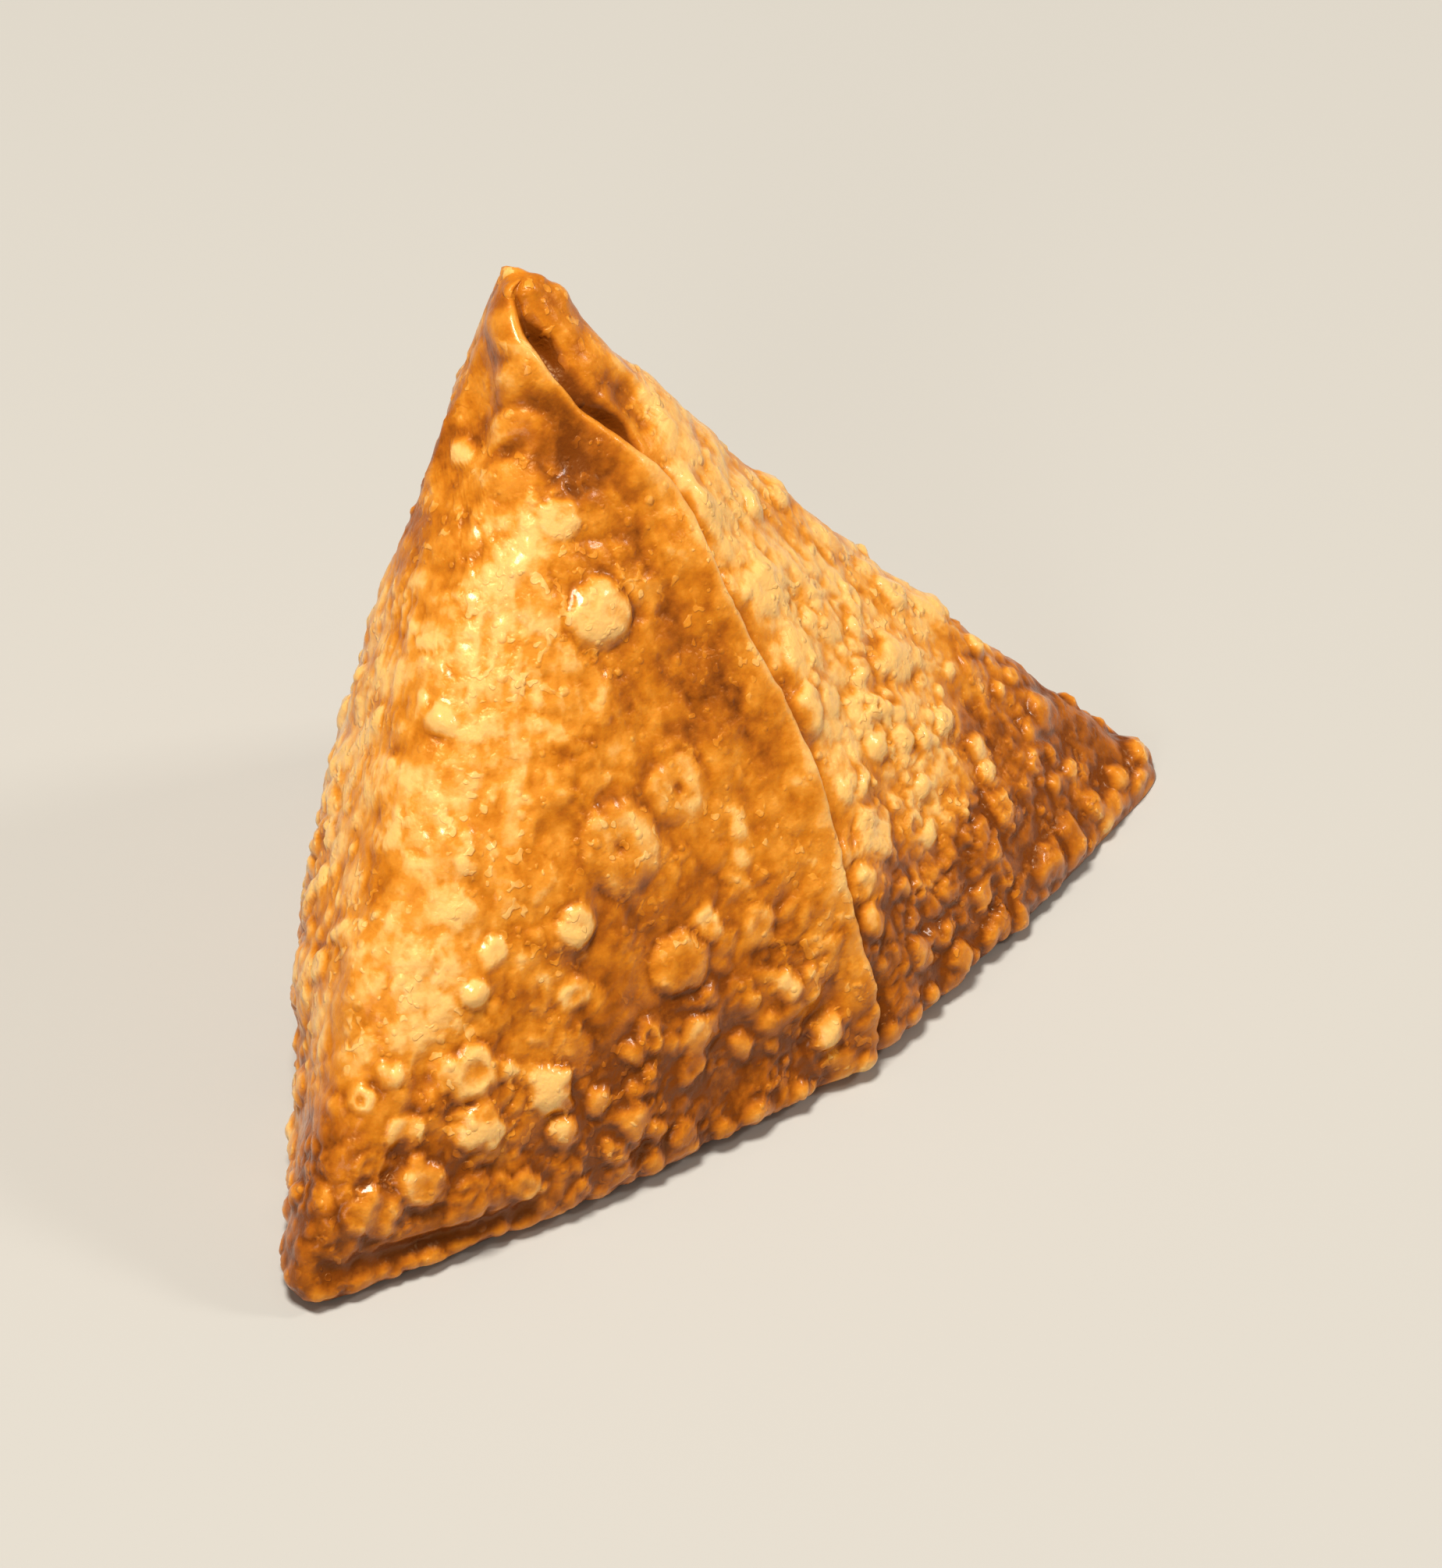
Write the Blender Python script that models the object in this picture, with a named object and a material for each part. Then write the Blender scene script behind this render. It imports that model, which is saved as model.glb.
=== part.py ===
"""Samosa: a stuffed cone of fried pastry with an overlapping front seam, standing on its flat base.

The crust is one closed solid. Level curves are stacked from the base to the tip, the seam's lap is
folded into them, and blisters, folds and swells then raise or sink the crust along its own normals.
The seam faces -Y, the left corner of the base is at -X and the hidden back corner at +Y.
"""
import math
import random

import bmesh
import bpy
import numpy as np
from mathutils import Vector, noise

MM = 0.001

# The whole; the edges run together at this height, a little under the round tip
HEIGHT = 57.0 * MM
POINT_SPACING = 1.4 * MM
SEED = 41
CRUST_COLOUR = (0.62, 0.29, 0.07, 1.0)
CRUST_ROUGHNESS = 0.42

# Base corners seen from above, in the order of the level curves, which run a little inside them
CORNERS = ("left", "seam", "right", "back")
CORNER_PLACE = {
    "left": (-47.4 * MM, 0.5 * MM),
    "seam": (5.4 * MM, -7.7 * MM),
    "right": (50.9 * MM, 4.4 * MM),
    "back": (4.6 * MM, 50.0 * MM),
}
# How far each corner's rounding reaches along its sides at the base, and what it grows to aloft
BASE_REACH = {"left": 7.0 * MM, "seam": 10.0 * MM, "right": 7.0 * MM, "back": 16.0 * MM}
HIGH_REACH = {"left": 26.0 * MM, "seam": 14.0 * MM, "right": 9.0 * MM, "back": 26.0 * MM}
TIP_REACH = 1.0 * MM
MOST_REACH = 0.42
# How far each edge is blunted above the share of the height where it is fully so
EDGE_SOFTNESS = {"left": 0.6, "seam": 0.0, "right": 0.2, "back": 0.3}
SOFT_FROM = 0.3
# Above 1 an edge bows outward on its way up to the tip, below 1 it is hollow
EDGE_BOW = {"left": 1.75, "seam": 1.44, "right": 0.87, "back": 1.62}
# Bulge of the side that starts at each corner
SIDE_BULGE = {"left": 2.1 * MM, "seam": 1.4 * MM, "right": 8.0 * MM, "back": 4.7 * MM}
BULGE_AT_BASE = 0.5
BULGE_GROWTH = 3.6
BULGE_FADE = 1.6
SEAM_LEAN = 3.2 * MM

# Tip and foot
TIP_PLACE = (3.9 * MM, 33.2 * MM)
TIP_RADIUS = 3.3 * MM
CAP_FROM = 53.8 * MM
TIP_CAP = 3.9 * MM
# 1 is an even dome, less is a blunter one
TIP_BLUNTNESS = 0.65
FOOT_ROUND = 3.2 * MM
FOOT_INSET = 2.6 * MM
SIDE_SLANT = 1.25
FOOT_FADE = 1.2 * MM

# Level curves
CURVE_STEPS = 24
SEAM_CONTROL = 5

# The lap at the seam, across it from the left sheet to the right one, in mm: where each column
# starts on the smooth crust, how far it shifts along the crust, how far it rises (+) or sinks (-),
# and how far it moves aside where the gap under the lap stands open
LAP_COLUMNS = np.array((
    (-5.2, 0.0, 0.0, 0.0),
    (-3.6, 0.0, 0.12, 0.0),
    (-2.3, 0.0, 0.32, 0.0),
    (-1.2, 0.0, 0.58, 0.0),
    (-0.4, 0.1, 0.80, 0.0),
    (0.1, 0.35, 0.82, 0.0),
    (0.5, 0.30, 0.38, 0.0),
    (0.9, -0.15, -0.20, 0.25),
    (1.4, 0.0, -0.40, 0.6),
    (2.2, 0.0, -0.25, 0.75),
    (3.3, 0.0, -0.08, 0.3),
    (4.6, 0.0, 0.0, 0.0),
))
LAP_SHARE_OF_LEVEL = 0.42
LAP_WANDER = 0.4 * MM
WANDER_TURNS = 17.0
WANDER_START = 0.6
# The lap's rise varies up its length: strength, turns and start of each wave
LAP_WAVES = ((0.25, 21.0, 0.0), (0.15, 47.0, 1.0))
LAP_RISE_AT_FOOT = 0.2
LAP_FADE_HEIGHT = 11.0 * MM
# How far the lap turns to the left round the tip, as a share of the way round, and from what height
LAP_TURN = 0.20
LAP_TURN_FROM = 43.0 * MM
# Where the gap under the lap opens: share of the height, half-length as a share, how wide and deep
LAP_GAPS = ((0.955, 0.05, 0.8), (0.85, 0.05, 0.6), (0.10, 0.05, 0.4))
GAP_DEPTH = 2.6
# How much of the other relief is left out on the lap
LAP_CALM = 0.7

# Swells of the whole crust
SWELL_SIZE = 15.0 * MM
SWELL_RISE = 0.7 * MM
SWELL_SEED = 3.1
DENT_SIZE = 5.0 * MM
DENT_RISE = 0.2 * MM

# Folds and creases: share of the way round and height in mm at each end, half-width and rise in mm
FOLDS = {
    "rolled end of the tip": (0.72, 56.2, 0.72, 54.4, 2.2, 0.6),
    "shoulder beside the tip": (0.21, 56.6, 0.20, 54.8, 2.6, 0.5),
    "neck under the tip": (0.66, 53.5, 0.68, 47.5, 3.6, -1.2),
    "hollow down the left edge": (0.735, 53.0, 0.745, 40.0, 4.5, -1.0),
    "hollow beside the tip": (0.19, 53.0, 0.18, 47.0, 4.0, -0.6),
    "hollow down the right edge": (0.21, 52.0, 0.205, 36.0, 4.5, -0.7),
    "valley beside the lap": (0.045, 50.5, 0.05, 45.0, 2.2, -0.9),
    "bump below the valley": (0.035, 43.5, 0.04, 40.0, 2.0, 0.7),
    "fold under the tip": (0.955, 51.5, 0.885, 47.0, 1.7, -0.45),
    "second fold under the tip": (0.83, 53.0, 0.90, 50.5, 1.4, -0.35),
    "notch at the end of the seam": (0.995, 9.5, 0.965, 4.5, 1.6, -0.8),
    "lip over the notch": (0.985, 11.0, 0.950, 7.5, 1.5, 0.5),
    "pleat at the back corner": (0.478, 1.5, 0.480, 27.0, 3.2, 1.3),
    "crease beside the back pleat": (0.448, 1.5, 0.458, 20.0, 2.2, -0.9),
    "pinch along the left corner": (0.765, 3.0, 0.760, 13.0, 1.8, 0.5),
    "groove beside the left edge": (0.783, 4.0, 0.778, 17.0, 1.2, -0.7),
    "crease over the left foot": (0.855, 2.7, 0.772, 3.4, 1.2, -0.8),
    "crease round the left corner": (0.772, 3.4, 0.735, 3.4, 1.2, -0.6),
    "pinch along the right corner": (0.212, 2.5, 0.215, 12.0, 1.8, 0.5),
}
# A fold's strength at its two ends, as the part of half a wave that is left off there
FOLD_END = 0.12

# The largest blisters: share of the way round, then height, radius and rise in mm, sunk middle
LARGE_BLISTERS = (
    (0.881, 39.2, 3.0, 1.35, 0.10),
    (0.875, 25.5, 3.8, 0.95, 0.6),
    (0.847, 22.0, 1.9, 1.00, 0.2),
    (0.910, 16.0, 2.8, 1.15, 0.25),
    (0.918, 27.0, 3.0, 0.38, 0.5),
    (0.857, 45.2, 1.8, 0.60, 0.2),
)
# Uneven lumps near the foot and on the right face, in the same way
LUMPS = (
    (0.781, 6.8, 2.5, 1.00, 0.0),
    (0.797, 8.2, 2.3, 1.10, 0.3),
    (0.778, 12.2, 1.5, 0.70, 0.0),
    (0.803, 14.8, 2.6, 0.90, 0.5),
    (0.801, 22.2, 1.6, 0.60, 0.3),
    (0.822, 14.2, 1.2, 0.70, 0.0),
    (0.814, 10.8, 2.3, 1.15, 0.0),
    (0.847, 11.5, 2.1, 1.10, 0.0),
    (0.850, 17.5, 1.6, 0.60, 0.4),
    (0.857, 8.0, 1.5, 0.90, 0.0),
    (0.847, 5.0, 1.7, 0.90, 0.4),
    (0.890, 6.8, 2.1, 1.05, 0.0),
    (0.872, 9.5, 1.4, 0.80, 0.0),
    (0.926, 17.8, 1.6, 0.60, 0.4),
    (0.921, 10.5, 2.0, 0.90, 0.0),
    (0.943, 7.8, 1.8, 0.90, 0.0),
    (0.965, 10.8, 1.5, 0.80, 0.0),
    (0.953, 15.8, 1.9, 0.60, 0.3),
    (0.981, 6.0, 1.8, 1.00, 0.0),
    (0.037, 6.0, 1.6, 0.80, 0.0),
    (0.036, 15.5, 2.6, 0.80, 0.3),
    (0.064, 19.8, 1.7, 0.85, 0.0),
    (0.047, 25.0, 1.7, 0.65, 0.2),
    (0.067, 12.0, 1.2, 0.65, 0.0),
    (0.078, 15.0, 1.1, 0.60, 0.0),
    (0.094, 17.2, 1.2, 0.60, 0.0),
    (0.081, 5.5, 1.5, 0.75, 0.3),
    (0.110, 8.8, 1.6, 0.80, 0.4),
    (0.121, 13.0, 1.6, 0.70, 0.0),
)

# Scattered blisters: how many are tried, radius and rise
BLISTER_SIZES = (
    (35, 3.2 * MM, 0.85 * MM),
    (170, 2.3 * MM, 0.80 * MM),
)
BLISTER_SIZE_SPREAD = (0.7, 1.1)
BLISTER_RISE_SPREAD = (0.6, 1.15)
BLISTER_DIMPLES = (0.0, 0.0, 0.0, 0.4, 0.7)
BLISTER_STRETCH = (1.0, 1.35)
BLISTER_GAP = 0.86
BLISTER_HEIGHTS = (0.05, 0.93)
DIMPLE_REACH = 0.5
# Uneven outlines of the blisters: size of the unevenness and how strong it is
BLISTER_WAVERS = ((3.2 * MM, 0.34), (1.3 * MM, 0.15))
BLISTER_EDGE = 0.95
# The largest blisters are rounder, with steeper sides and a wide sunk middle
LARGE_WAVER = 0.3
LARGE_EDGE = 0.8
LARGE_DIMPLE_REACH = 0.74
# How thickly the blisters lie on each stretch of the way round, up to that share: how likely they
# are low down and high up, and the shares of the height between which that changes
BLISTER_DENSITY = (
    (0.21, 0.8, 0.15, 0.26, 0.50),
    (0.48, 0.8, 0.30, 0.25, 0.50),
    (0.70, 0.8, 0.10, 0.25, 0.50),
    (0.80, 0.15, 0.05, 0.15, 0.30),
    (1.0, 0.35, 0.0, 0.15, 0.26),
)
# Craggy rim of bubbles round the foot
RIM_STEP = 2.7 * MM
RIM_JITTER = 0.45
RIM_RADIUS = (1.1 * MM, 1.9 * MM)
RIM_RISE = (0.5 * MM, 0.95 * MM)
RIM_HEIGHT = (0.9 * MM, 3.2 * MM)
# On this stretch of the way round the rim is a thin lip of bubbles this much lower and smaller
LIP_STRETCH = (0.75, 0.87)
LIP_SHARE = 0.55
# Relief faces the same way as the crust under it to at least this much
FACING = 0.2
SHARP_ANGLE = 60.0


def corner_places(share):
    """Where the four edges are, seen from above, at a share of the height."""
    tip = Vector(TIP_PLACE)
    places = []
    for name in CORNERS:
        foot = Vector(CORNER_PLACE[name])
        end = tip + (foot - tip).normalized() * TIP_RADIUS
        place = foot.lerp(end, share ** EDGE_BOW[name])
        if name == "seam":
            place.x += SEAM_LEAN * 4 * share * (1 - share)
        places.append(place)
    return places


def level_controls(share):
    """Control points of the closed curve that the crust follows at one level."""
    places = corner_places(share)
    controls = []
    for index, name in enumerate(CORNERS):
        here = places[index]
        back = places[index - 1] - here
        side = places[(index + 1) % len(places)] - here
        growth = (HIGH_REACH[name] - BASE_REACH[name]) * share
        reach = (BASE_REACH[name] + growth) * (1 - share) ** 0.5 + TIP_REACH
        bulge = SIDE_BULGE[name] * (1 - share) ** BULGE_FADE * (BULGE_AT_BASE + BULGE_GROWTH * share)
        one_way = here + back * min(reach / back.length, MOST_REACH)
        other_way = here + side * min(reach / side.length, MOST_REACH)
        softness = EDGE_SOFTNESS[name] * min(1.0, share / SOFT_FROM)
        controls.append(one_way)
        controls.append(here.lerp((one_way + other_way) / 2, softness))
        controls.append(other_way)
        controls.append(here + side / 2 + Vector((side.y, -side.x)).normalized() * bulge)
    return controls


def level_curve(share, inset=0.0, shrink=1.0):
    """The closed curve at one level, from the seam round by the right corner, as points."""
    here = np.roll(np.array(level_controls(share)), -SEAM_CONTROL, axis=0)[:, None]
    before = np.roll(here, 1, axis=0)
    after = np.roll(here, -1, axis=0)
    beyond = np.roll(here, -2, axis=0)
    t = np.linspace(0, 1, CURVE_STEPS, endpoint=False)[None, :, None]
    curve = (1 - t) ** 3 * before + (3 * t ** 3 - 6 * t ** 2 + 4) * here
    curve = curve + (-3 * t ** 3 + 3 * t ** 2 + 3 * t + 1) * after + t ** 3 * beyond
    curve = curve.reshape(-1, 2) / 6
    centre = curve.mean(axis=0)
    spokes = curve - centre
    lengths = np.linalg.norm(spokes, axis=1, keepdims=True)
    return centre + spokes * shrink * (1 - inset / lengths)


class Level:
    """One level curve that can be asked for points by the length walked along it."""

    def __init__(self, height, inset=0.0, shrink=1.0):
        curve = level_curve(min(height / HEIGHT, 1.0), inset, shrink)
        curve = np.vstack([curve, curve[:1]])
        steps = np.linalg.norm(np.diff(curve, axis=0), axis=1)
        self.height = height
        self.curve = curve
        self.walked = np.concatenate([[0.0], np.cumsum(steps)])
        self.length = self.walked[-1]

    def points(self, walk):
        walk = np.mod(walk, self.length)
        x = np.interp(walk, self.walked, self.curve[:, 0])
        y = np.interp(walk, self.walked, self.curve[:, 1])
        return np.stack([x, y, np.full_like(x, self.height)], axis=-1)


def stack_levels(spacing):
    """Every level from the base to just under the tip: round foot, sides, round tip."""
    levels = []
    foot_steps = max(3, round(FOOT_ROUND * math.pi / 2 / spacing))
    for step in range(foot_steps):
        angle = math.pi / 2 * step / foot_steps
        height = FOOT_ROUND * (1 - math.cos(angle))
        levels.append(Level(height, inset=FOOT_INSET * (1 - math.sin(angle))))
    side_rise = CAP_FROM - FOOT_ROUND
    side_steps = round(side_rise * SIDE_SLANT / spacing)
    for step in range(side_steps):
        levels.append(Level(FOOT_ROUND + side_rise * step / side_steps))
    cap_steps = max(3, round(TIP_CAP * math.pi / 2 / spacing))
    for step in range(cap_steps):
        angle = math.pi / 2 * step / cap_steps
        shrink = math.cos(angle) ** TIP_BLUNTNESS
        levels.append(Level(CAP_FROM + TIP_CAP * math.sin(angle), shrink=shrink))
    return levels


def lap_squeeze(level):
    """How much the lap is narrowed where the level curve is short, near the tip."""
    width = (LAP_COLUMNS[-1, 0] - LAP_COLUMNS[0, 0]) * MM
    return min(1.0, level.length * LAP_SHARE_OF_LEVEL / width)


def lap_depths(height):
    """The lap's rise at one height, as a factor, and how far the gap under it stands open."""
    share = height / HEIGHT
    rise = 1.0 + sum(strength * math.sin(share * turns + start) for strength, turns, start in LAP_WAVES)
    rise *= min(1.0, LAP_RISE_AT_FOOT + height / LAP_FADE_HEIGHT)
    opening = 0.0
    for middle, reach, width in LAP_GAPS:
        away = min(1.0, abs(share - middle) / reach)
        opening += width * (1 - away ** 2) ** 2
    return rise, opening


def lap_turn(level):
    """How far the lap is moved along the level curve: it wanders, and turns left round the tip."""
    wander = LAP_WANDER * math.sin(level.height / HEIGHT * WANDER_TURNS + WANDER_START)
    climb = max(0.0, level.height - LAP_TURN_FROM) / (HEIGHT - LAP_TURN_FROM)
    return wander * lap_squeeze(level) - LAP_TURN * climb ** 1.5 * level.length


def level_walks(level, spacing):
    """Lengths along one level curve of the lap's columns and of the even columns round the rest."""
    lap = LAP_COLUMNS[:, 0] * MM * lap_squeeze(level) + lap_turn(level)
    rest = level.length - (lap[-1] - lap[0])
    count = max(4, round(rest / spacing))
    around = np.linspace(lap[-1], lap[0] + level.length, count + 1)[1:-1]
    return lap, around


def lap_shift(level, walks):
    """Offsets that fold the lap's columns: along the level curve and along the outward normal."""
    squeeze = lap_squeeze(level) * MM
    rise, opening = lap_depths(level.height)
    ahead = level.points(walks + 0.1 * MM) - level.points(walks - 0.1 * MM)
    along = ahead / np.linalg.norm(ahead, axis=1, keepdims=True)
    shift = (LAP_COLUMNS[:, 1] + LAP_COLUMNS[:, 3] * opening) * squeeze
    lift = LAP_COLUMNS[:, 2]
    lift = np.where(lift > 0, lift * rise, lift * (1 + GAP_DEPTH * opening)) * squeeze
    return along * shift[:, None], lift


def zip_rows(lower, upper):
    """Triangles between two open rows of point numbers with different counts."""
    faces = []
    a = 0
    b = 0
    last_a = len(lower) - 1
    last_b = len(upper) - 1
    while a < last_a or b < last_b:
        if b == last_b or (a < last_a and (a + 1) * last_b <= (b + 1) * last_a):
            faces.append((lower[a], lower[a + 1], upper[b]))
            a += 1
        else:
            faces.append((lower[a], upper[b + 1], upper[b]))
            b += 1
    return faces


def smooth_crust(spacing):
    """Points and triangles of the unblistered crust, with the lap's shifts kept aside."""
    levels = stack_levels(spacing)
    lap_count = len(LAP_COLUMNS)
    points = []
    shifts = []
    lifts = []
    rows = []
    start = 0
    for level in levels:
        lap, around = level_walks(level, spacing)
        shift, lift = lap_shift(level, lap)
        points.append(level.points(np.concatenate([lap, around])))
        shifts.append(np.vstack([shift, np.zeros((len(around), 3))]))
        lifts.append(np.concatenate([lift, np.zeros(len(around))]))
        count = lap_count + len(around)
        rows.append(list(range(start, start + count)))
        start += count
    top = points[-1].mean(axis=0)
    top[2] = CAP_FROM + TIP_CAP
    points.append(top[None])
    shifts.append(np.zeros((1, 3)))
    lifts.append(np.zeros(1))
    faces = []
    for lower, upper in zip(rows, rows[1:]):
        for column in range(lap_count - 1):
            a, b = lower[column], lower[column + 1]
            c, d = upper[column + 1], upper[column]
            faces.append((a, b, c))
            faces.append((a, c, d))
        faces.extend(zip_rows(lower[lap_count - 1:] + lower[:1], upper[lap_count - 1:] + upper[:1]))
    last = rows[-1]
    for index, number in enumerate(last):
        faces.append((number, last[(index + 1) % len(last)], start))
    return np.vstack(points), np.vstack(shifts), np.concatenate(lifts), faces, rows[0]


def crust_normals(points, faces):
    """Outward normals at the points, from the triangles round each."""
    faces = np.array(faces)
    corner = points[faces]
    crosses = np.cross(corner[:, 1] - corner[:, 0], corner[:, 2] - corner[:, 0])
    normals = np.zeros_like(points)
    for side in range(3):
        np.add.at(normals, faces[:, side], crosses)
    # The foot pushes outward only, so that the base stays flat
    normals[:, 2] = np.maximum(normals[:, 2], 0.0)
    return normals / np.linalg.norm(normals, axis=1, keepdims=True)


def crust_place(round_share, height):
    """A place on the smooth crust and its outward direction."""
    step = 0.5 * MM
    level = Level(height)
    walk = round_share * level.length
    here, right = level.points(np.array([walk, walk + step]))
    below = Level(height - step)
    up = here - below.points(np.array([round_share * below.length]))[0]
    outward = np.cross(right - here, up)
    return here, outward / np.linalg.norm(outward)


class Blisters:
    """All blisters, in the order in which they were found."""

    def __init__(self):
        self.places = np.empty((0, 3))
        self.outward = np.empty((0, 3))
        self.long_way = np.empty((0, 3))
        self.shape = np.empty((0, 4))
        self.large = np.empty(0, bool)

    def add(self, spot, radius, rise, dimple=0.0, stretch=1.0, turn=0.0, gap=None, large=False):
        place, outward = crust_place(*spot)
        if gap is not None and len(self.places):
            apart = np.linalg.norm(self.places - place, axis=1)
            if not np.all(apart > gap * (self.shape[:, 0] + radius)):
                return
        level_way = np.cross((0, 0, 1.0), outward)
        level_way /= np.linalg.norm(level_way)
        long_way = math.cos(turn) * level_way + math.sin(turn) * np.cross(outward, level_way)
        self.places = np.vstack([self.places, place])
        self.outward = np.vstack([self.outward, outward])
        self.long_way = np.vstack([self.long_way, long_way])
        self.shape = np.vstack([self.shape, (radius, rise, dimple, stretch)])
        self.large = np.append(self.large, large)


def blister_density(round_share, share):
    """How likely a blister is at a place: thick near the foot, thin on the upper left face."""
    low, high, low_band, high_band = next(row[1:] for row in BLISTER_DENSITY if round_share <= row[0])
    blend = min(max((share - low_band) / (high_band - low_band), 0.0), 1.0)
    return low + (high - low) * blend


def rim_blisters(draw, blisters):
    """The craggy row of bubbles round the foot."""
    count = round(Level(FOOT_ROUND).length / RIM_STEP)
    for index in range(count):
        round_share = (index + draw.uniform(-RIM_JITTER, RIM_JITTER)) / count
        height = draw.uniform(*RIM_HEIGHT)
        radius = draw.uniform(*RIM_RADIUS)
        rise = draw.uniform(*RIM_RISE)
        stretch = draw.uniform(*BLISTER_STRETCH)
        turn = draw.uniform(0, math.pi)
        if LIP_STRETCH[0] < round_share < LIP_STRETCH[1]:
            height *= LIP_SHARE
            radius *= LIP_SHARE
            rise *= LIP_SHARE
        blisters.add((round_share % 1.0, height), radius, rise, stretch=stretch, turn=turn)


def scatter_blisters(draw, sizes, blisters, gap):
    """Blisters at random places, large ones first, that keep clear of those already there."""
    base_length = Level(FOOT_ROUND).length
    for tries, radius, rise in sizes:
        for _ in range(tries):
            round_share = draw.random()
            share = draw.uniform(*BLISTER_HEIGHTS)
            size = radius * draw.uniform(*BLISTER_SIZE_SPREAD)
            lift = rise * draw.uniform(*BLISTER_RISE_SPREAD)
            dimple = draw.choice(BLISTER_DIMPLES)
            stretch = draw.uniform(*BLISTER_STRETCH)
            turn = draw.uniform(0, math.pi)
            chance = draw.random()
            height = share * HEIGHT
            room = Level(height).length / base_length
            if chance <= room * blister_density(round_share, share):
                blisters.add((round_share, height), size, lift, dimple, stretch, turn, gap)


def all_blisters():
    """The large blisters, the lumps, the rim and the scattered ones."""
    draw = random.Random(SEED)
    blisters = Blisters()
    for round_share, height, radius, rise, dimple in LARGE_BLISTERS:
        blisters.add((round_share, height * MM), radius * MM, rise * MM, dimple, large=True)
    for round_share, height, radius, rise, dimple in LUMPS:
        blisters.add((round_share, height * MM), radius * MM, rise * MM, dimple)
    rim_blisters(draw, blisters)
    scatter_blisters(draw, BLISTER_SIZES, blisters, BLISTER_GAP)
    return blisters


def noise_field(points, size, seed_shift=0.0):
    """Smooth noise at the points, about -1 to 1."""
    shift = Vector((seed_shift, 1.7 * seed_shift, -0.6 * seed_shift))
    return np.array([noise.noise(Vector(point) / size + shift) for point in points])


def blister_relief(points, normals, blisters):
    """How far blisters raise each point: domes, some longish, some with a sunk middle."""
    wavers = sum(noise_field(points, size) * strength for size, strength in BLISTER_WAVERS)
    relief = np.zeros(len(points))
    rows = zip(blisters.places, blisters.outward, blisters.long_way, blisters.shape, blisters.large)
    for place, outward, long_way, (radius, rise, dimple, stretch), large in rows:
        edge, reach, waver = BLISTER_EDGE, DIMPLE_REACH, 1.0
        if large:
            edge, reach, waver = LARGE_EDGE, LARGE_DIMPLE_REACH, LARGE_WAVER
        offset = points - place
        offset = offset - np.outer(offset @ long_way * (1 - 1 / stretch), long_way)
        away = np.linalg.norm(offset, axis=1) / radius
        away = np.clip(away + wavers * waver, 0, None)
        near = (away < 1) & (normals @ outward > FACING)
        inside = (1 - away[near] ** 2) ** edge
        sunk = dimple * np.clip(1 - (away[near] / reach) ** 2, 0, 1) ** 1.5
        relief[near] = np.maximum(relief[near], rise * (inside - sunk))
    return relief


def fold_relief(points, normals):
    """How far the folds raise or sink each point: round ridges and grooves along short lines."""
    relief = np.zeros(len(points))
    for round_a, height_a, round_b, height_b, half_width, rise in FOLDS.values():
        start, outward = crust_place(round_a, height_a * MM)
        end, _ = crust_place(round_b, height_b * MM)
        line = end - start
        along = np.clip((points - start) @ line / (line @ line), 0, 1)
        nearest = start + along[:, None] * line
        away = np.linalg.norm(points - nearest, axis=1) / (half_width * MM)
        near = (away < 1) & (normals @ outward > 0)
        taper = np.sin(np.pi * (FOLD_END + (1 - 2 * FOLD_END) * along[near]))
        relief[near] += rise * MM * taper * (1 - away[near] ** 2) ** 1.5
    return relief


def swell_relief(points):
    """Broad swells and smaller dents of the whole crust."""
    swell = noise_field(points, SWELL_SIZE, SWELL_SEED)
    return swell * SWELL_RISE + noise_field(points, DENT_SIZE) * DENT_RISE


def relieved_crust(spacing):
    """The crust with its lap, blisters and swells, standing at height 0."""
    points, shifts, lifts, faces, base_row = smooth_crust(spacing)
    normals = crust_normals(points, faces)
    relief = blister_relief(points, normals, all_blisters())
    relief = relief + swell_relief(points) + fold_relief(points, normals)
    calm = 1 - LAP_CALM * np.clip(np.abs(lifts) / MM, 0, 1)
    relief = relief * calm * np.clip(points[:, 2] / FOOT_FADE, 0, 1)
    points = points + shifts + normals * (relief + lifts)[:, None]
    points[base_row, 2] = 0.0
    points[:, 2] = np.maximum(points[:, 2], 0.0)
    middle = (points.max(axis=0) + points.min(axis=0)) / 2
    points[:, :2] -= middle[:2]
    return points, faces, base_row


def crust_material():
    material = bpy.data.materials.new("fried crust")
    material.use_nodes = True
    shader = material.node_tree.nodes["Principled BSDF"]
    shader.inputs["Base Color"].default_value = CRUST_COLOUR
    shader.inputs["Roughness"].default_value = CRUST_ROUGHNESS
    shader.inputs["Metallic"].default_value = 0.0
    return material


def build_samosa():
    points, faces, base_row = relieved_crust(POINT_SPACING)
    mesh = bmesh.new()
    corners = [mesh.verts.new(point) for point in points]
    for face in faces:
        mesh.faces.new([corners[number] for number in face])
    base = mesh.faces.new([corners[number] for number in reversed(base_row)])
    bmesh.ops.triangulate(mesh, faces=[base])
    data = bpy.data.meshes.new("samosa")
    mesh.to_mesh(data)
    mesh.free()
    data.shade_smooth()
    data.set_sharp_from_angle(angle=math.radians(SHARP_ANGLE))
    data.materials.append(crust_material())
    samosa = bpy.data.objects.new("samosa", data)
    bpy.context.scene.collection.objects.link(samosa)
    return samosa


def main():
    for old in list(bpy.data.objects):
        bpy.data.objects.remove(old, do_unlink=True)
    build_samosa()


main()
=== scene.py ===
"""Dresses the samosa: a blistered, browned and oily crust over its solid, on a pale floor."""
import math
import random

import bpy
import numpy as np
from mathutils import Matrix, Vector, noise


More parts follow.
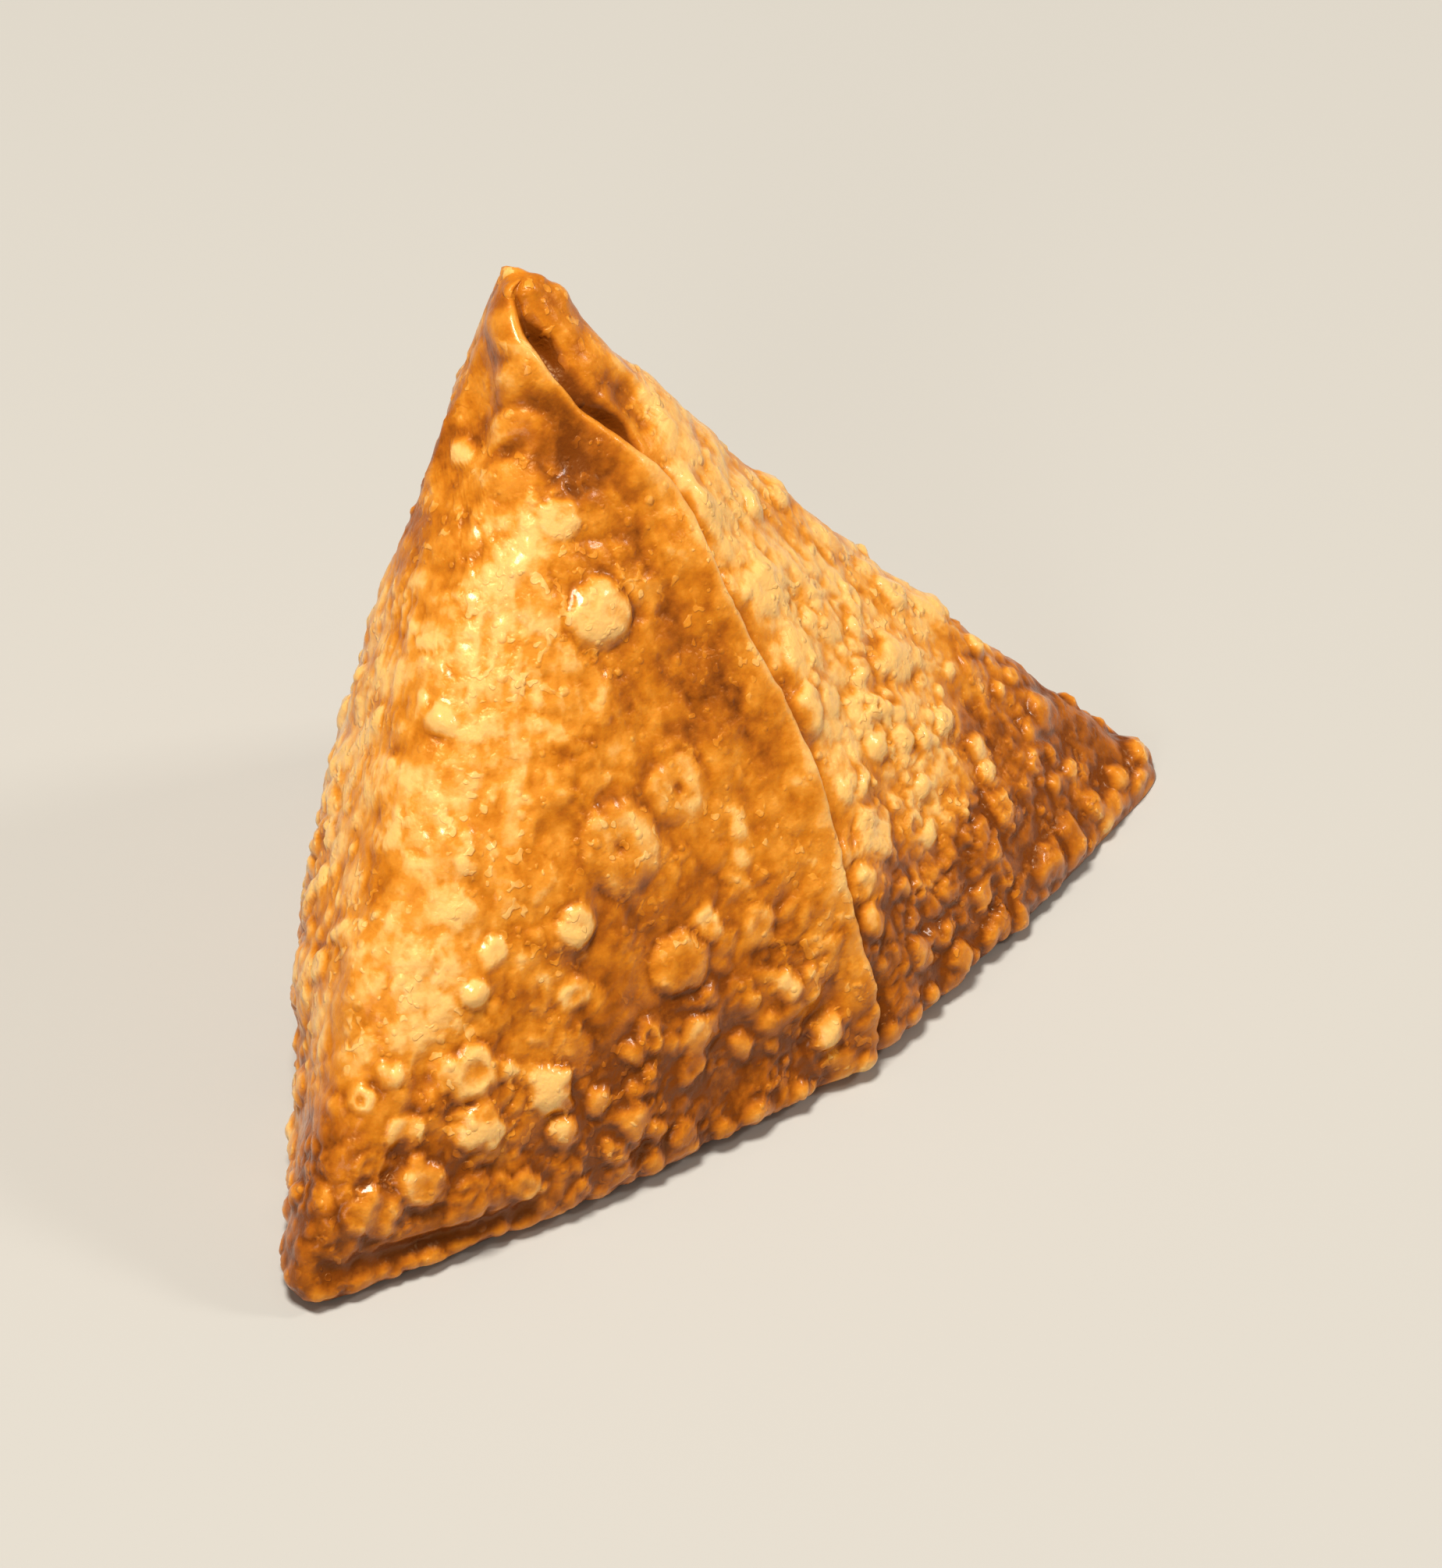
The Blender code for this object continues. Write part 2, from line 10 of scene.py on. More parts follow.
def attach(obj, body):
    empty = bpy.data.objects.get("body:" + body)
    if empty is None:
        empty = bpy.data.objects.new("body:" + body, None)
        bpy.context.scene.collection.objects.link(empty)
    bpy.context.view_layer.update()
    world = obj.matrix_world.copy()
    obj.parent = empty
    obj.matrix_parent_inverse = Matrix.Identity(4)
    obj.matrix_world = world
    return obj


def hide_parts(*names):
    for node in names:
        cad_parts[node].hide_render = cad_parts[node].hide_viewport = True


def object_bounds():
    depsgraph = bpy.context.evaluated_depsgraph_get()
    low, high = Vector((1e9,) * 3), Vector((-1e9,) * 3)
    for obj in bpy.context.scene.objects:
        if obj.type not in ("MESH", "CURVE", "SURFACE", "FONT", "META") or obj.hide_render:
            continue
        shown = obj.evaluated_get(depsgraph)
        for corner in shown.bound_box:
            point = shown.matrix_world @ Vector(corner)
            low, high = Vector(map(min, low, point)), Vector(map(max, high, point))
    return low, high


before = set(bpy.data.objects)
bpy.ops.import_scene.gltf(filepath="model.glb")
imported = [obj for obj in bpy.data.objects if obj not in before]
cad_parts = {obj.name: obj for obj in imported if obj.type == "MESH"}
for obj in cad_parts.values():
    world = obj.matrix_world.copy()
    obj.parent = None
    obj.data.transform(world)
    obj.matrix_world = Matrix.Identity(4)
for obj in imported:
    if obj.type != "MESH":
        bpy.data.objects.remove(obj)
CAD_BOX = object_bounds()

MM = 0.001

# The whole; the edges run together at this height, a little under the round tip
HEIGHT = 57.0 * MM
CRUST_SPACING = 0.31 * MM
SEED = 41

# Base corners seen from above, in the order of the level curves, which run a little inside them
CORNERS = ("left", "seam", "right", "back")
CORNER_PLACE = {
    "left": (-47.4 * MM, 0.5 * MM),
    "seam": (5.4 * MM, -7.7 * MM),
    "right": (50.9 * MM, 4.4 * MM),
    "back": (4.6 * MM, 50.0 * MM),
}
# How far each corner's rounding reaches along its sides at the base, and what it grows to aloft
BASE_REACH = {"left": 7.0 * MM, "seam": 10.0 * MM, "right": 7.0 * MM, "back": 16.0 * MM}
HIGH_REACH = {"left": 26.0 * MM, "seam": 14.0 * MM, "right": 9.0 * MM, "back": 26.0 * MM}
# How it shrinks towards the tip, what is left of it there, and the most that it takes of a side
REACH_FADE = 0.5
TIP_REACH = 1.0 * MM
MOST_REACH = 0.42
# How far each edge is blunted above the share of the height where it is fully so
EDGE_SOFTNESS = {"left": 0.6, "seam": 0.0, "right": 0.2, "back": 0.3}
SOFT_FROM = 0.3
# Above 1 an edge bows outward on its way up to the tip, below 1 it is hollow
EDGE_BOW = {"left": 1.75, "seam": 1.44, "right": 0.87, "back": 1.62}
# Bulge of the side that starts at each corner
SIDE_BULGE = {"left": 2.1 * MM, "seam": 1.4 * MM, "right": 8.0 * MM, "back": 4.7 * MM}
# Its share at the base, how it grows with the height, and how it fades towards the tip
BULGE_AT_BASE = 0.5
BULGE_GROWTH = 3.6
BULGE_FADE = 1.6
# How far the seam leans to the right half-way up
SEAM_LEAN = 3.2 * MM

# Tip: its place from above, how far beside it the edges end, where its cap begins and how high it is
TIP_PLACE = (3.9 * MM, 33.2 * MM)
TIP_RADIUS = 3.3 * MM
CAP_FROM = 53.8 * MM
TIP_CAP = 3.9 * MM
# 1 is an even dome, less is a blunter one
TIP_BLUNTNESS = 0.65
# Foot: how far up and how far in its rounding goes, and over what height the relief sets in
FOOT_ROUND = 3.2 * MM
FOOT_INSET = 2.6 * MM
FOOT_FADE = 1.2 * MM
# Length of the sloping sides as a multiple of their height
SIDE_SLANT = 1.25

# Level curves: points between two controls, the control at the seam, and fewest columns off the lap
CURVE_STEPS = 24
SEAM_CONTROL = 5
FEWEST_COLUMNS = 4

# The lap at the seam, across it from the left sheet to the right one, in mm: where it lies on the
# smooth crust, how far it shifts along the crust, how far it rises (+) or sinks (-), and how far it
# moves aside where the gap under the lap stands open
LAP_PROFILE = (
    (-5.2, 0.0, 0.0, 0.0),
    (-3.6, 0.0, 0.10, 0.0),
    (-2.3, 0.0, 0.30, 0.0),
    (-1.2, 0.0, 0.55, 0.0),
    (-0.4, 0.1, 0.80, 0.0),
    (0.1, 0.38, 0.86, 0.0),
    (0.35, 0.52, 0.60, 0.0),
    (0.55, 0.40, 0.22, 0.1),
    (0.8, 0.0, -0.22, 0.35),
    (1.3, -0.1, -0.55, 0.7),
    (2.0, 0.0, -0.34, 0.8),
    (3.2, 0.0, -0.08, 0.3),
    (4.6, 0.0, 0.0, 0.0),
)
# The place across the lap that is written for the rest of the crust
BESIDE_LAP = 9.0
# Columns between two places of the profile, and the most that the lap takes of a level
LAP_FINENESS = 3
LAP_SHARE_OF_LEVEL = 0.42
# How far the lap wanders aside in long waves, and in short ragged ones
LAP_WANDER = 0.4 * MM
LAP_RAGGED = 0.2 * MM
LAP_RAGGED_SIZE = 1.7 * MM
LAP_RAGGED_START = (0.3, 0.7)
WANDER_TURNS = 17.0
WANDER_START = 0.6
# The lap's rise varies up its length: strength, turns and start of each wave
LAP_WAVES = ((0.25, 21.0, 0.0), (0.15, 47.0, 1.0))
LAP_RISE_AT_FOOT = 0.2
LAP_FADE_HEIGHT = 11.0 * MM
# How far the lap turns to the left round the tip, as a share of the way round, from what height,
# and how it gathers speed on its way up
LAP_TURN = 0.20
LAP_TURN_FROM = 43.0 * MM
LAP_TURN_GROWTH = 1.5
# Where the gap under the lap opens: share of the height, half-length as a share, how wide
LAP_GAPS = ((0.955, 0.05, 0.8), (0.85, 0.05, 0.6), (0.10, 0.05, 0.4))
# How much an open gap deepens the groove, in parts of the groove's own depth
GAP_DEPTH = 2.6
# How much of the other relief is left out where the lap or its groove is 1 mm high or deep
LAP_CALM = 0.7
# How much of the fine relief is left out on the palest blisters
FINE_CALM = 0.7
# The tip is smoother: from what height, over how much more height, and how much fine relief it
# loses in all
SMOOTH_FROM = 47.0 * MM
SMOOTH_OVER = 8.0 * MM
TIP_CALM = 0.6

# Where each noise starts, so that no two of them repeat each other
NOISE_STARTS = {
    "swell": 3.1,
    "pebble patches": 2.0,
    "peel": 4.0,
    "wrinkles": 5.0,
    "peel edge": 6.0,
    "bumps": 8.0,
    "grain": 9.0,
    "browning": 11.0,
    "sway": 12.0,
}
PEBBLE_WARP_STARTS = (2.3, 4.1, 6.7)
# How far a start moves the noise along x, y and z
START_SHIFT = (1.0, 1.7, -0.6)

# Swells and dents of the whole crust
SWELL_SIZE = 15.0 * MM
SWELL_RISE = 0.7 * MM
DENT_SIZE = 5.0 * MM
DENT_RISE = 0.2 * MM

# Folds and creases: share of the way round and height in mm at each end, half-width and rise in mm
FOLDS = {
    "rolled end of the tip": (0.72, 56.2, 0.72, 54.4, 2.2, 0.6),
    "shoulder beside the tip": (0.21, 56.6, 0.20, 54.8, 2.6, 0.5),
    "neck under the tip": (0.66, 53.5, 0.68, 47.5, 3.6, -1.2),
    "hollow down the left edge": (0.735, 53.0, 0.745, 40.0, 4.5, -1.0),
    "hollow beside the tip": (0.19, 53.0, 0.18, 47.0, 4.0, -0.6),
    "upper crease left of the tip": (0.74, 53.8, 0.84, 54.2, 0.8, -0.5),
    "ridge left of the tip": (0.73, 52.6, 0.85, 53.0, 0.9, 0.35),
    "lower crease left of the tip": (0.73, 51.2, 0.86, 51.8, 0.9, -0.5),
    "long crease left of the tip": (0.74, 48.8, 0.82, 50.0, 1.0, -0.45),
    "hollow down the right edge": (0.21, 52.0, 0.205, 36.0, 4.5, -0.7),
    "valley beside the lap": (0.045, 50.5, 0.05, 45.0, 2.2, -0.9),
    "bump below the valley": (0.035, 43.5, 0.04, 40.0, 2.0, 0.7),
    "fold under the tip": (0.955, 51.5, 0.885, 47.0, 1.7, -0.45),
    "second fold under the tip": (0.83, 53.0, 0.90, 50.5, 1.4, -0.35),
    "notch at the end of the seam": (0.995, 9.5, 0.965, 4.5, 1.6, -0.8),
    "lip over the notch": (0.985, 11.0, 0.950, 7.5, 1.5, 0.5),
    "pleat at the back corner": (0.478, 1.5, 0.480, 27.0, 3.2, 1.3),
    "crease beside the back pleat": (0.448, 1.5, 0.458, 20.0, 2.2, -0.9),
    "pinch along the left corner": (0.765, 3.0, 0.760, 13.0, 1.8, 0.5),
    "groove beside the left edge": (0.783, 4.0, 0.778, 17.0, 1.2, -0.7),
    "crease over the left foot": (0.855, 2.7, 0.772, 3.4, 1.2, -0.8),
    "crease round the left corner": (0.772, 3.4, 0.735, 3.4, 1.2, -0.6),
    "pinch along the right corner": (0.212, 2.5, 0.215, 12.0, 1.8, 0.5),
}
# A fold's strength at its two ends, as the part of half a wave that is left off there
FOLD_END = 0.12
# How softly a fold runs out at its sides
FOLD_EDGE = 1.5

# The largest blisters: share of the way round, then height, radius and rise in mm, sunk middle
LARGE_BLISTERS = (
    (0.881, 39.2, 3.0, 1.35, 0.10),
    (0.875, 25.5, 3.8, 0.95, 0.6),
    (0.847, 22.0, 1.9, 1.00, 0.2),
    (0.910, 16.0, 2.8, 1.15, 0.25),
    (0.918, 27.0, 3.0, 0.38, 0.5),
    (0.857, 45.2, 1.8, 0.60, 0.2),
)
# Uneven lumps near the foot and on the right face, in the same way
LUMPS = (
    (0.781, 6.8, 2.5, 1.00, 0.0),
    (0.797, 8.2, 2.3, 1.10, 0.3),
    (0.778, 12.2, 1.5, 0.70, 0.0),
    (0.803, 14.8, 2.6, 0.90, 0.5),
    (0.801, 22.2, 1.6, 0.60, 0.3),
    (0.822, 14.2, 1.2, 0.70, 0.0),
    (0.814, 10.8, 2.3, 1.15, 0.0),
    (0.847, 11.5, 2.1, 1.10, 0.0),
    (0.850, 17.5, 1.6, 0.60, 0.4),
    (0.857, 8.0, 1.5, 0.90, 0.0),
    (0.847, 5.0, 1.7, 0.90, 0.4),
    (0.890, 6.8, 2.1, 1.05, 0.0),
    (0.872, 9.5, 1.4, 0.80, 0.0),
    (0.926, 17.8, 1.6, 0.60, 0.4),
    (0.921, 10.5, 2.0, 0.90, 0.0),
    (0.943, 7.8, 1.8, 0.90, 0.0),
    (0.965, 10.8, 1.5, 0.80, 0.0),
    (0.953, 15.8, 1.9, 0.60, 0.3),
    (0.981, 6.0, 1.8, 1.00, 0.0),
    (0.037, 6.0, 1.6, 0.80, 0.0),
    (0.036, 15.5, 2.6, 0.80, 0.3),
    (0.064, 19.8, 1.7, 0.85, 0.0),
    (0.047, 25.0, 1.7, 0.65, 0.2),
    (0.067, 12.0, 1.2, 0.65, 0.0),
    (0.078, 15.0, 1.1, 0.60, 0.0),
    (0.094, 17.2, 1.2, 0.60, 0.0),
    (0.081, 5.5, 1.5, 0.75, 0.3),
    (0.110, 8.8, 1.6, 0.80, 0.4),
    (0.121, 13.0, 1.6, 0.70, 0.0),
)

# Scattered blisters: how many are tried, radius and rise
BLISTER_SIZES = (
    (35, 3.2 * MM, 0.85 * MM),
    (170, 2.3 * MM, 0.80 * MM),
)
SMALL_BLISTER_SIZES = (
    (420, 1.4 * MM, 0.68 * MM),
    (900, 0.95 * MM, 0.50 * MM),
    (1100, 0.6 * MM, 0.34 * MM),
)
# How close two may lie, as a share of their radii together
BLISTER_GAP = 0.86
SMALL_BLISTER_GAP = 0.6
# How they vary: size, rise, sunk middle, length over width, and share of the height
BLISTER_SIZE_SPREAD = (0.7, 1.1)
BLISTER_RISE_SPREAD = (0.6, 1.15)
BLISTER_DIMPLES = (0.0, 0.0, 0.0, 0.4, 0.7)
BLISTER_STRETCH = (1.0, 1.35)
BLISTER_HEIGHTS = (0.05, 0.93)
# How far a sunk middle reaches, and how softly it ends
DIMPLE_REACH = 0.5
DIMPLE_EDGE = 1.5
# Uneven outlines of the blisters: size of the unevenness and how strong it is
BLISTER_WAVERS = ((3.2 * MM, 0.34), (1.3 * MM, 0.24), (0.7 * MM, 0.10))
BLISTER_EDGE = 0.95
# The largest blisters are rounder, with steeper sides and a wide sunk middle
LARGE_WAVER = 0.3
LARGE_EDGE = 0.8
LARGE_DIMPLE_REACH = 0.74
# Those that are sunk more than this have a pit in the middle
PITTED_FROM = 0.45
PIT_REACH = 0.16
PIT_DEPTH = 0.3 * MM
# How far the tops are paled as a painted highlight, mostly standing in for light on them: of
# scattered blisters, lumps and the largest blisters, whose paleness falls off this softly as painted
# shading of a dome; and the rise from which a smaller blister is fully so
PLAIN_TOP_HIGHLIGHT = 0.2
LUMP_TOP_HIGHLIGHT = 0.8
LARGE_TOP_HIGHLIGHT = 0.55
LARGE_DOME_SHADING = 0.7
TOP_HIGHLIGHT_RISE = 0.6 * MM
# Where raised domes meet, their joint is filled this softly
BLISTER_JOINT = 0.16 * MM
# How thickly the blisters lie on each stretch of the way round, up to that share: how likely they
# are low down and high up, and the shares of the height between which that changes
BLISTER_DENSITY = (
    (0.21, 0.8, 0.15, 0.26, 0.50),
    (0.48, 0.8, 0.30, 0.25, 0.50),
    (0.70, 0.8, 0.10, 0.25, 0.50),
    (0.80, 0.15, 0.05, 0.15, 0.30),
    (1.0, 0.35, 0.0, 0.15, 0.26),
)
# Craggy rim of bubbles round the foot
RIM_STEP = 2.7 * MM
RIM_JITTER = 0.45
RIM_RADIUS = (1.1 * MM, 1.9 * MM)
RIM_RISE = (0.5 * MM, 0.95 * MM)
RIM_HEIGHT = (0.9 * MM, 3.2 * MM)
# On this stretch of the way round the rim is a thin lip, its bubbles this share as high and large
LIP_STRETCH = (0.75, 0.87)
LIP_SHARE = 0.55
# Small crags along the foot's lower edge
FOOT_CRAG_STEP = 1.9 * MM
FOOT_CRAG_RADIUS = (0.8 * MM, 1.4 * MM)
FOOT_CRAG_RISE = (0.3 * MM, 0.6 * MM)
FOOT_CRAG_HEIGHT = (0.7 * MM, 2.2 * MM)
# Relief faces the same way as the crust under it to at least this much
FACING = 0.2

# Fine relief that only the dressed crust has
# Wrinkles that run down from the tip: width, length and rise, and how far they sway aside
WRINKLES = ((0.9 * MM, 3.5 * MM, 0.14 * MM), (2.3 * MM, 6.0 * MM, 0.20 * MM))
WRINKLE_SWAY = 3.0 * MM
WRINKLE_SWAY_SIZE = 7.0 * MM
# Pebbly bubbles packed side by side: size and rise, the share of a cell that its joints take, and
# how far the cells are pushed out of shape
PEBBLES = ((2.6 * MM, 0.45 * MM), (1.3 * MM, 0.24 * MM))
PEBBLE_JOINT = 0.7
PEBBLE_WARP = 0.6
PEBBLE_WARP_SIZE = 1.6
# They keep to patches: size as a multiple of the pebbles', and strength
PEBBLE_PATCH_SIZE = 3.0
PEBBLE_PATCHES = 1.1
# Soft bumps that meet in creases: size and rise
BUMPS = ((5.0 * MM, 0.26 * MM), (2.2 * MM, 0.09 * MM))
GRAIN_SIZE = 0.8 * MM
GRAIN_RISE = 0.06 * MM
# Peeling top layers: size of the patches, rise of their edge, how much of the crust they take, how
# wide and how ragged the edge is, and how they thin out behind it
PEEL_SIZE = 5.0 * MM
PEEL_RISE = 0.12 * MM
PEEL_FROM = 0.24
PEEL_EDGE = 0.08
PEEL_RAGGED = 0.35
PEEL_RAGGED_SIZE = PEEL_SIZE / 4
PEEL_FULL = 1.6
PEEL_THINNING = 4.0
# How pebbly the crust is: share of the way round, height in mm, reach in mm, strength
PEBBLED_BASE = 0.15
PEBBLED = (
    (0.82, 5.0, 9.0, 0.15),
    (0.90, 5.0, 9.0, 0.25),
    (0.97, 4.0, 7.0, 0.25),
    (0.04, 10.0, 8.0, 0.5),
    (0.08, 20.0, 8.0, 0.25),
    (0.12, 12.0, 9.0, 0.3),
    (0.18, 8.0, 9.0, 0.2),
    (0.15, 48.0, 9.0, -0.5),
    (0.84, 30.0, 13.0, -0.25),
    (0.90, 38.0, 10.0, -0.25),
    (0.88, 20.0, 8.0, -0.2),
    (0.95, 25.0, 8.0, -0.2),
    (0.92, 50.0, 7.0, -0.3),
    (0.48, 8.0, 14.0, 0.5),
    (0.35, 8.0, 14.0, 0.4),
    (0.62, 8.0, 14.0, 0.4),
    (0.76, 8.0, 7.0, 0.3),
)
# Where long wrinkles run down from the tip
WRINKLED_BASE = 0.15
WRINKLED = (
    (0.06, 38.0, 8.0, 0.6),
    (0.12, 30.0, 9.0, 0.5),
    (0.16, 20.0, 9.0, 0.4),
    (0.78, 38.0, 9.0, 0.5),
    (0.77, 24.0, 9.0, 0.5),
    (0.35, 30.0, 14.0, 0.4),
    (0.62, 30.0, 14.0, 0.4),
)


def corner_places(share):
    """Where the four edges are, seen from above, at a share of the height."""
    tip = Vector(TIP_PLACE)
    places = []
    for name in CORNERS:
        foot = Vector(CORNER_PLACE[name])
        end = tip + (foot - tip).normalized() * TIP_RADIUS
        place = foot.lerp(end, share ** EDGE_BOW[name])
        if name == "seam":
            place.x += SEAM_LEAN * 4 * share * (1 - share)
        places.append(place)
    return places


def level_controls(share):
    """Control points of the closed curve that the crust follows at one level."""
    places = corner_places(share)
    controls = []
    for index, name in enumerate(CORNERS):
        here = places[index]
        back = places[index - 1] - here
        side = places[(index + 1) % len(places)] - here
        growth = (HIGH_REACH[name] - BASE_REACH[name]) * share
        reach = (BASE_REACH[name] + growth) * (1 - share) ** REACH_FADE + TIP_REACH
        bulge = SIDE_BULGE[name] * (1 - share) ** BULGE_FADE
        bulge *= BULGE_AT_BASE + BULGE_GROWTH * share
        one_way = here + back * min(reach / back.length, MOST_REACH)
        other_way = here + side * min(reach / side.length, MOST_REACH)
        softness = EDGE_SOFTNESS[name] * min(1.0, share / SOFT_FROM)
        controls.append(one_way)
        controls.append(here.lerp((one_way + other_way) / 2, softness))
        controls.append(other_way)
        controls.append(here + side / 2 + Vector((side.y, -side.x)).normalized() * bulge)
    return controls


def level_curve(share, inset=0.0, shrink=1.0):
    """The closed curve at one level, from the seam round by the right corner, as points."""
    here = np.roll(np.array(level_controls(share)), -SEAM_CONTROL, axis=0)[:, None]
    before = np.roll(here, 1, axis=0)
    after = np.roll(here, -1, axis=0)
    beyond = np.roll(here, -2, axis=0)
    t = np.linspace(0, 1, CURVE_STEPS, endpoint=False)[None, :, None]
    curve = (1 - t) ** 3 * before + (3 * t ** 3 - 6 * t ** 2 + 4) * here
    curve = curve + (-3 * t ** 3 + 3 * t ** 2 + 3 * t + 1) * after + t ** 3 * beyond
    curve = curve.reshape(-1, 2) / 6
    centre = curve.mean(axis=0)
    spokes = curve - centre
    lengths = np.linalg.norm(spokes, axis=1, keepdims=True)
    return centre + spokes * shrink * (1 - inset / lengths)


class Level:
    """One level curve that can be asked for points by the length walked along it."""

    def __init__(self, height, inset=0.0, shrink=1.0):
        curve = level_curve(min(height / HEIGHT, 1.0), inset, shrink)
        curve = np.vstack([curve, curve[:1]])
        steps = np.linalg.norm(np.diff(curve, axis=0), axis=1)
        self.height = height
        self.curve = curve
        self.walked = np.concatenate([[0.0], np.cumsum(steps)])
        self.length = self.walked[-1]

    def points(self, walk):
        walk = np.mod(walk, self.length)
        x = np.interp(walk, self.walked, self.curve[:, 0])
        y = np.interp(walk, self.walked, self.curve[:, 1])
        return np.stack([x, y, np.full_like(x, self.height)], axis=-1)


def stack_levels(spacing):
    """Every level from the base to just under the tip: round foot, sides, round tip."""
    levels = []
    foot_steps = round(FOOT_ROUND * math.pi / 2 / spacing)
    for step in range(foot_steps):
        angle = math.pi / 2 * step / foot_steps
        height = FOOT_ROUND * (1 - math.cos(angle))
        levels.append(Level(height, inset=FOOT_INSET * (1 - math.sin(angle))))
    side_rise = CAP_FROM - FOOT_ROUND
    side_steps = round(side_rise * SIDE_SLANT / spacing)
    for step in range(side_steps):
        levels.append(Level(FOOT_ROUND + side_rise * step / side_steps))
    cap_steps = round(TIP_CAP * math.pi / 2 / spacing)
    for step in range(cap_steps):
        angle = math.pi / 2 * step / cap_steps
        shrink = math.cos(angle) ** TIP_BLUNTNESS
        levels.append(Level(CAP_FROM + TIP_CAP * math.sin(angle), shrink=shrink))
    return levels


def fine_lap_columns():
    """The lap's profile with extra columns between its points, on a smooth curve through them."""
    rough = np.array(LAP_PROFILE)
    rough = np.vstack([2 * rough[:1] - rough[1:2], rough, 2 * rough[-1:] - rough[-2:-1]])
    columns = []
    for index in range(1, len(rough) - 2):
        before, here, after, beyond = rough[index - 1:index + 3]
        for step in range(LAP_FINENESS):
            t = step / LAP_FINENESS
            bend = (after - before) * t + (2 * before - 5 * here + 4 * after - beyond) * t ** 2
            bend = bend + (3 * here - before - 3 * after + beyond) * t ** 3
            columns.append(here + bend / 2)
    columns.append(rough[-2])
    return np.array(columns)


LAP_COLUMNS = fine_lap_columns()


def lap_squeeze(level):
    """How much the lap is narrowed where the level curve is short, near the tip."""
    width = (LAP_COLUMNS[-1, 0] - LAP_COLUMNS[0, 0]) * MM
    return min(1.0, level.length * LAP_SHARE_OF_LEVEL / width)


def lap_depths(height):
    """The lap's rise at one height, as a factor, and how far the gap under it stands open."""
    share = height / HEIGHT
    waves = (strength * math.sin(share * turns + start) for strength, turns, start in LAP_WAVES)
    rise = 1.0 + sum(waves)
    rise *= min(1.0, LAP_RISE_AT_FOOT + height / LAP_FADE_HEIGHT)
    opening = 0.0
    for middle, reach, width in LAP_GAPS:
        away = min(1.0, abs(share - middle) / reach)
        opening += width * (1 - away ** 2) ** 2
    return rise, opening


def lap_turn(level):
    """How far the lap is moved along the level curve: it wanders, and turns left round the tip."""
    wander = LAP_WANDER * math.sin(level.height / HEIGHT * WANDER_TURNS + WANDER_START)
    ragged_place = Vector((*LAP_RAGGED_START, level.height / LAP_RAGGED_SIZE))
    wander += LAP_RAGGED * noise.noise(ragged_place)
    climb = max(0.0, level.height - LAP_TURN_FROM) / (HEIGHT - LAP_TURN_FROM)
    return wander * lap_squeeze(level) - LAP_TURN * climb ** LAP_TURN_GROWTH * level.length


def level_walks(level, spacing):
    """Lengths along one level curve of the lap's columns and of the even columns round the rest."""
    lap = LAP_COLUMNS[:, 0] * MM * lap_squeeze(level) + lap_turn(level)
    rest = level.length - (lap[-1] - lap[0])
    count = max(FEWEST_COLUMNS, round(rest / spacing))
    around = np.linspace(lap[-1], lap[0] + level.length, count + 1)[1:-1]
    return lap, around


def lap_shift(level, walks):
    """Offsets that fold the lap's columns: along the level curve and along the outward normal."""
    squeeze = lap_squeeze(level) * MM
    rise, opening = lap_depths(level.height)
    step = 0.1 * MM
    ahead = level.points(walks + step) - level.points(walks - step)
    along = ahead / np.linalg.norm(ahead, axis=1, keepdims=True)
    shift = (LAP_COLUMNS[:, 1] + LAP_COLUMNS[:, 3] * opening) * squeeze
    lift = LAP_COLUMNS[:, 2]
    lift = np.where(lift > 0, lift * rise, lift * (1 + GAP_DEPTH * opening)) * squeeze
    return along * shift[:, None], lift


def zip_rows(lower, upper):
    """Triangles between two open rows of point numbers with different counts."""
    faces = []
    a = 0
    b = 0
    last_a = len(lower) - 1
    last_b = len(upper) - 1
    while a < last_a or b < last_b:
        if b == last_b or (a < last_a and (a + 1) * last_b <= (b + 1) * last_a):
            faces.append((lower[a], lower[a + 1], upper[b]))
            a += 1
        else:
            faces.append((lower[a], upper[b + 1], upper[b]))
            b += 1
    return faces


def smooth_crust(spacing):
    """The unblistered crust: its points, places on the way round, lap offsets and triangles."""
    lap_count = len(LAP_COLUMNS)
    points = []
    rounds = []
    shifts = []
    lifts = []
    across = []
    rows = []
    start = 0
    for level in stack_levels(spacing):
        lap, around = level_walks(level, spacing)
        walks = np.concatenate([lap, around])
        shift, lift = lap_shift(level, lap)
        points.append(level.points(walks))
        rounds.append(np.mod(walks / level.length, 1.0))
        shifts.append(np.vstack([shift, np.zeros((len(around), 3))]))
        lifts.append(np.concatenate([lift, np.zeros(len(around))]))
        across.append(np.concatenate([LAP_COLUMNS[:, 0], np.full(len(around), BESIDE_LAP)]))
        rows.append(list(range(start, start + len(walks))))
        start += len(walks)
    top = points[-1].mean(axis=0)
    top[2] = CAP_FROM + TIP_CAP
    points.append(top[None])
    rounds.append(np.zeros(1))
    shifts.append(np.zeros((1, 3)))
    lifts.append(np.zeros(1))
    across.append(np.full(1, BESIDE_LAP))
    faces = []
    for lower, upper in zip(rows, rows[1:]):
        for column in range(lap_count - 1):
            a, b = lower[column], lower[column + 1]
            c, d = upper[column + 1], upper[column]
            faces.append((a, b, c))
            faces.append((a, c, d))
        faces.extend(zip_rows(lower[lap_count - 1:] + lower[:1], upper[lap_count - 1:] + upper[:1]))
    last = rows[-1]
    for index, number in enumerate(last):
        faces.append((number, last[(index + 1) % len(last)], start))
    crust = {"points": np.vstack(points), "round": np.concatenate(rounds), "base": rows[0]}
    crust["shift"] = np.vstack(shifts)
    crust["lift"] = np.concatenate(lifts)
    crust["across"] = np.concatenate(across)
    crust["faces"] = np.array(faces)
    return crust


